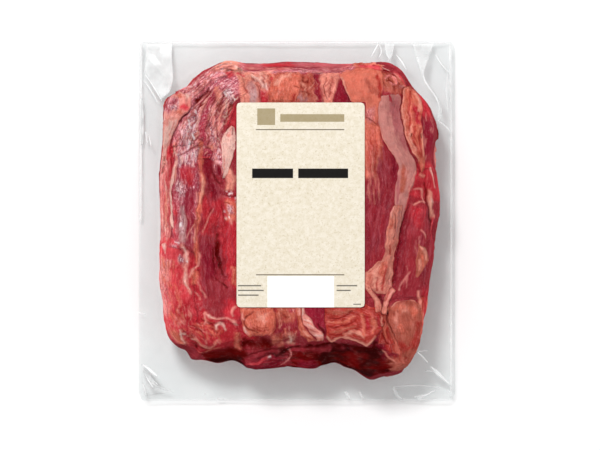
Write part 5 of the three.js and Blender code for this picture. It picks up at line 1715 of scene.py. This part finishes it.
# %% [markdown]
# ## The clear film
# The film is thin, clear plastic, welded all round and drawn tight by the vacuum. Cloth simulation could
# shrink it on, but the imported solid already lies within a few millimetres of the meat, so a copy of it is
# moved along its normals until it clings. Over the border it keeps its form, with slight ripples.

# %% Film drawn onto the meat
film = copy_of("pouch", "film")
add_modifier(film, "SUBSURF", subdivision_type="SIMPLE", levels=1, render_levels=1)
CLING = 0.35  # how far the film stays off the meat
SEARCH, RAY = 8, 14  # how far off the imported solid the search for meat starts, and how long it goes on
BORDER_PUSH = (-16, -1)  # the bulges of the side fade out over the border
spots = points_of(film)
inside = reach_at(spots[:, 0], spots[:, 1]) - np.hypot(spots[:, 0], spots[:, 1])
spots = pushed(spots, smoothstep(*BORDER_PUSH, inside) * (spots[:, 2] > 2))
facing = normals_of(film)
offset = np.zeros(len(spots))
for i in np.flatnonzero((inside > 0.5) & (spots[:, 2] > 2)):
    start, back = Vector(spots[i] + facing[i] * SEARCH), Vector(-facing[i])
    reached = [tree.ray_cast(start, back, RAY)[3] for tree in laid]
    reached = [r for r in reached if r is not None]
    offset[i] = SEARCH - min(reached) + CLING if reached else 0
print(int((offset != 0).sum()), "points of the film lie on meat")

# %% Smoothing how it lies
FILM_SMOOTHINGS = 3
FILM_REACH = (-2, 3.5)  # the furthest that the film goes inwards and outwards
edges = np.empty(len(film.data.edges) * 2, int)
film.data.edges.foreach_get("vertices", edges)
first, second = edges.reshape(-1, 2).T
degree = np.bincount(edges, minlength=len(spots))
for _ in range(FILM_SMOOTHINGS):
    around = np.bincount(first, offset[second], len(spots))
    around = around + np.bincount(second, offset[first], len(spots))
    offset = np.maximum(offset, 0.5 * offset + 0.5 * around / degree)
cover = label_cover(spots) * (spots[:, 2] > LABEL_LEVEL)
offset = np.clip(offset, *FILM_REACH) * (1 - cover)
spots = spots + facing * offset[:, None]
print("it lies", round(float(offset.min()), 1), "to", round(float(offset.max()), 1), "mm off the solid")

# %% The border's ripples
border = smoothstep(-0.5, -3, inside)
upper = facing[:, 2] > 0
ripple = noise_at(spots / 14, 21) * 0.4 + noise_at(spots / 5, 22) * 0.1
height = spots[:, 2] + border * np.where(upper, ripple, 0)
place_points(film, np.c_[spots[:, :2], np.maximum(height, 0)])
write_layer(film, "border", "FLOAT", border)
choose(film)
bpy.ops.object.shade_smooth_by_angle(angle=math.radians(50))
print("the film has", len(film.data.polygons), "faces")

# %% [markdown]
# Over the meat the film hardly shows, and over the border, where two films lie on each other, it is faintly
# grey. A glass shader would bend and darken what is under it. So the finish is clear, with a little glossy
# plastic mixed in: about a hundredth over the meat, and a cloudy few hundredths over the border.


# %% Finish of the film
def film_finish():
    shader = Shader("clear_film")
    border = shader.attribute("border", 2)
    place = shader.place()
    cloud = shader.noise(shader.scaled(place, (0.05, 0.05, 0.05)), 3, 0.6)
    wrinkle = shader.noise(shader.scaled(place, (0.12, 0.12, 0.12)), 2, 0.5, 0.4)
    cover = 0.01 + border * (0.058 + (cloud - 0.5) * 0.08)
    colour = shader.mix(border, (0.1, 0.08, 0.08, 1), (0.33, 0.335, 0.335, 1))
    bump = shader.node("ShaderNodeBump", {}, {"Strength": 0.3, "Distance": 0.5 * MM, "Height": wrinkle})
    plastic = shader.node(
        "ShaderNodeBsdfPrincipled",
        {},
        {"Base Color": colour, "Roughness": 0.22, "IOR": 1.5, "Normal": bump},
    )
    clear = shader.node("ShaderNodeBsdfTransparent", {}, {"Color": (0.986, 0.996, 0.996, 1)})
    mixed = shader.node("ShaderNodeMixShader", {}, {0: cover.clamped(), 1: clear, 2: plastic})
    return shader.finish(mixed)


film.data.materials.append(film_finish())
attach(film, "root")
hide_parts("pouch")
print("finished", film.data.materials[0].name)

# %% [markdown]
# ## Folds of the border
# Where the film is creased it turns milky and catches the light; both the milkiness and a painted sheen of
# that light are white plastic. The creases could be a pattern in the film's own finish, but they stand up
# from it, so they are thin strips of their own: facets between two edges, and narrow folds along a line.
# Each is a grid dropped on the film, and all are joined in one piece.

# %% Facets of the border
FACETS = [
    # left edge, right edge, how milky and how much painted sheen, softness of its edge
    ([(-119.6, 141), (-119.8, 128), (-120, 117), (-107, 95)],
     [(-98.4, 141), (-98, 126), (-97.2, 112), (-100, 101)], 0.5, 1.2),
    ([(-124.6, 141), (-124.6, 60), (-124.6, 0)], [(-121.6, 141), (-121.8, 60), (-122.4, 0)], 0.45, 1.2),
    ([(68.4, 141), (70, 132), (72.4, 126)], [(77.4, 141), (76, 132), (73.4, 126)], 0.35, 0.8),
    ([(90.8, 141), (94, 128), (98.4, 114)], [(109, 141), (104, 128), (99.4, 114)], 0.4, 0.8),
    ([(108, 98), (110.4, 90), (110, 80)], [(112, 96), (115, 88), (112, 76)], 0.35, 1),
    ([(-123, -112), (-123, -126), (-121.6, -138.6)], [(-120.6, -113), (-110, -127), (-97, -135)], 0.2,
     2),
    ([(74.8, -131.6), (77, -137), (81, -141)], [(77, -131), (81, -137), (85, -141)], 0.5, 0.8),
    ([(36.6, -134), (38.6, -138), (40, -141)], [(40, -134), (42, -138), (44, -141)], 0.3, 0.8),
    ([(47.8, -134), (49.6, -138), (51, -141)], [(50.4, -134), (52.4, -138), (54, -141)], 0.3, 0.8),
    ([(119.5, 140), (120.6, 60), (120.6, -60), (120.6, -140)],
     [(122.4, 140), (123, 60), (123, -60), (123, -140)], 0.3, 0.7),
]
print(len(FACETS), "facets")

# %% Folds along lines
FOLDS = [
    # line, half widths, how milky and how much painted sheen
    ([(-120.2, 116.4), (-113, 105.6), (-106, 94)], [0.4, 0.6, 0.4], 0.8),
    ([(-121.6, 112), (-115, 102.6), (-109, 92)], [0.3, 0.4, 0.3], 0.5),
    ([(-122, 97), (-121.8, 78), (-122, 60)], [0.8, 1.1, 0.8], 0.45),
    ([(-119.6, 71), (-118, 61)], [0.4, 0.4], 0.7),
    ([(-117, 68), (-115, 59)], [0.3, 0.4], 0.7),
    ([(-124.4, -72.4), (-119.6, -73.5)], [0.6, 0.4], 0.4),
    ([(64.4, 140.4), (62, 136), (58.6, 129.6)], [0.4, 0.6, 0.3], 0.6),
    ([(64.6, 140.4), (66.6, 134), (64.4, 128)], [0.3, 0.5, 0.3], 0.5),
    ([(77.4, 131.6), (81.6, 127), (86.4, 118.8)], [0.3, 0.7, 0.4], 0.7),
    ([(98.6, 121), (101, 110), (110, 96.4), (113.4, 84)], [0.4, 0.8, 0.8, 0.5], 0.6),
    ([(108.9, 132.4), (113, 125), (120, 116.6)], [0.3, 0.5, 0.4], 0.7),
    ([(119, 116.6), (117.9, 102), (119, 88.5)], [0.4, 0.5, 0.4], 0.5),
    ([(110, 79.6), (115.6, 76.1), (122.4, 69.4)], [0.5, 0.6, 0.4], 0.7),
    ([(-122.4, -112.9), (-116, -117.6), (-109.5, -123)], [0.6, 1.2, 0.8], 0.8),
    ([(-121.3, -118.5), (-117, -126), (-112.9, -132)], [0.4, 0.8, 0.6], 0.7),
    ([(-117.4, -126.4), (-108, -131.4), (-98.3, -134.2)], [0.5, 0.8, 0.4], 0.6),
    ([(-121.9, -127.5), (-118.5, -138.7)], [0.5, 0.6], 0.6),
    ([(-111.4, -127.4), (-109.4, -129.6)], [0.7, 0.7], 0.7),
    ([(-73, -136.4), (-71.6, -136.8)], [0.7, 0.6], 0.6),
    ([(-63.4, -140.2), (-57, -140.6)], [0.6, 0.6], 0.6),
    ([(94.2, -102.7), (98.6, -106.6), (103.2, -111.7)], [0.4, 0.6, 0.4], 0.7),
    ([(104.6, -114.2), (109, -118), (119, -127.5), (122.6, -130.4)], [0.7, 1.7, 1, 0.5], 0.8),
    ([(101, -118), (108.9, -118.6)], [0.4, 0.5], 0.5),
    ([(95, -102.6), (103.4, -102)], [0.25, 0.3], 0.4),
    ([(74, -131), (92, -129.7), (110, -130.9), (113.4, -132.4)], [0.25, 0.35, 0.35, 0.3], 0.5),
    ([(92, -138.7), (101, -137.6), (106, -135), (110, -133.1)], [0.5, 0.9, 0.7, 0.5], 0.6),
    ([(95.4, -140.4), (99, -138.9)], [0.8, 0.6], 0.7),
    ([(118, -133), (122, -137)], [0.4, 0.5], 0.6),
    ([(-121, -141.4), (0, -141.6), (122, -141.4)], [0.4, 0.5, 0.5], 0.6),
    ([(-120, 140.6), (0, 140.8), (118, 140.6)], [0.4, 0.4, 0.4], 0.4),
]
print(len(FOLDS), "folds")

# %% Laying them on the film
FOLD_GAP, FOLD_RISE = 0.06, 0.3
NARROW = 5  # only strips narrower than this rise off the film
PACK_EDGE = np.array([cad_high.x, cad_high.y]) / MM - 0.5
laid.clear()
lay_down(film)
strips = []
for left, right, milky_with_sheen, soft in FACETS:
    strips.append((curve_through(left, 60), curve_through(right, 60), milky_with_sheen, soft))
for line, halves, milky_with_sheen in FOLDS:
    strips.append((*band(line, np.array(halves) * 1.3, 60), milky_with_sheen * 1.2, 0.8 * max(halves)))
folds = []
for left, right, milky_with_sheen, soft in strips:
    length, width = strip_size(left, right)
    across, along = min(30, max(6, round(width / 0.4))), min(90, max(8, round(length / 1.2)))
    fold, _, _, places = strip_grid(left, right, across, along)
    depth = np.maximum(depth_inside(places, left, right), 0)
    places = np.clip(places, -PACK_EDGE, PACK_EDGE)
    rise = smoothstep(0, soft, depth)
    uneven = 1 + 0.35 * noise_at(np.c_[places / 6, depth * 0], 41)
    heights = np.maximum(height_below(places), 0) + FOLD_GAP + FOLD_RISE * rise * (width < NARROW)
    place_points(fold, np.c_[places, heights])
    write_layer(fold, "milk_and_sheen", "FLOAT", np.clip(rise * milky_with_sheen * uneven, 0, 1))
    folds.append(fold)
choose(*folds)
bpy.ops.object.join()
film_folds = bpy.context.object
film_folds.name = "film_folds"
add_modifier(film_folds, "SOLIDIFY", thickness=0.05 * MM, offset=0, use_rim=True)
bpy.ops.object.shade_smooth()
print("the border's", len(strips), "folds have", len(film_folds.data.polygons), "faces")

# %% [markdown]
# Milky film, and the sheen painted on the folds, is the same mixture with white plastic. How much of it is
# mixed in comes from the milk and sheen that each point of a fold was given, so that a fold ends softly.


# %% Finish of the folds
def fold_finish():
    shader = Shader("milky_film_with_sheen")
    milk_and_sheen = shader.attribute("milk_and_sheen", 2)
    place = shader.place()
    streak = shader.noise(shader.scaled(place, (0.16, 0.16, 0.16)), 2, 0.5, 0.8)
    plastic = shader.node(
        "ShaderNodeBsdfPrincipled",
        {},
        {"Base Color": (0.95, 0.96, 0.96, 1), "Roughness": 0.3 + (streak - 0.5) * 0.2, "IOR": 1.5},
    )
    clear = shader.node("ShaderNodeBsdfTransparent", {}, {"Color": (1, 1, 1, 1)})
    # white plastic for milky film and painted sheen, mixed in by each point's milk and sheen
    cover = milk_and_sheen * (0.6 + streak * 0.35)
    return shader.finish(shader.node("ShaderNodeMixShader", {}, {0: cover.clamped(), 1: clear, 2: plastic}))


film_folds.data.materials.append(fold_finish())
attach(film_folds, "root")
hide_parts("pouch")
print("finished", film_folds.data.materials[0].name)

# %% [markdown]
# ## The label
# The label is printed paper: cream, faintly mottled, with flecks and fibres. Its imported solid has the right
# form, so it stays and only gets a finish. The print could be an image, but a block is only a test on two
# coordinates. Where a real label carries a name there are plain bars and blocks, which say nothing.


# %% Paper of the label
def paper_finish():
    shader = Shader("label_paper")
    place = shader.place()
    split = shader.node("ShaderNodeSeparateXYZ", {}, {0: place})
    x, y = split, Wire(shader, split.socket.node.outputs[1])
    bleed = 0.15  # how far the ink runs past a block's edge

    def block(left, low, right, high):
        """1 inside a printed block, in millimetres."""
        wide = abs(x - (left + right) / 2).ramp((right - left) / 2 + bleed, (right - left) / 2 - bleed)
        tall = abs(y - (low + high) / 2).ramp((high - low) / 2 + bleed, (high - low) / 2 - bleed)
        return wide * tall

    def blocks(*places):
        total = block(*places[0])
        for box in places[1:]:
            total = total.math("MAXIMUM", block(*box))
        return total

    grain = shader.noise(shader.scaled(place, (0.3, 0.3, 0.3)), 4, 0.7)
    fleck = shader.noise(shader.scaled(place, (0.9, 0.9, 0.9)), 2, 0.6)
    fibre = shader.noise(shader.scaled(place, (0.5, 1.6, 1)), 2, 0.5, 1.5)
    cream = shader.mix(grain.ramp(0.3, 0.7), linear("dbd1bc"), linear("e8e0d1"))
    cream = shader.mix((fleck - 0.58).clamped() * 4, cream, linear("b3a27c"))
    cream = shader.mix(abs(fibre - 0.5).ramp(0.02, 0.0) * 0.35, cream, linear("bba985"))
    olive = blocks((-31, 75, -17, 88), (-13, 77.5, 37, 83.5))
    lines = blocks((-32, 71, 37, 71.8), (-32, -42.4, 37, -41.6))
    title = blocks((-35, 33.5, -3, 41), (1, 33.5, 40, 41))
    small = blocks(
        (-46, -51, -28, -50),
        (-46, -54.7, -26, -53.7),
        (-46, -58.4, -30, -57.4),
        (31, -51, 47, -50),
        (31, -54.7, 42, -53.7),
        (44, -65.4, 50, -64.6),
    )
    white = block(-23, -67.5, 29, -43)
    colour = shader.mix(white, cream, linear("fdfdfb"))
    colour = shader.mix(olive * 0.8, colour, linear("8f7d52"))
    colour = shader.mix(lines * 0.9, colour, linear("4a3a22"))
    colour = shader.mix((title + small * 0.8).clamped(), colour, linear("0b0806"))
    bump = shader.node("ShaderNodeBump", {}, {"Strength": 0.2, "Distance": 0.2 * MM, "Height": fleck})
    return shader.finish(
        shader.node(
            "ShaderNodeBsdfPrincipled",
            {},
            {
                "Base Color": colour,
                "Roughness": 0.75 + (grain - 0.5) * 0.2,
                "Normal": bump,
                "Specular IOR Level": 0.2,
            },
        )
    )


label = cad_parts["label"]
label.data.materials.clear()
label.data.materials.append(paper_finish())
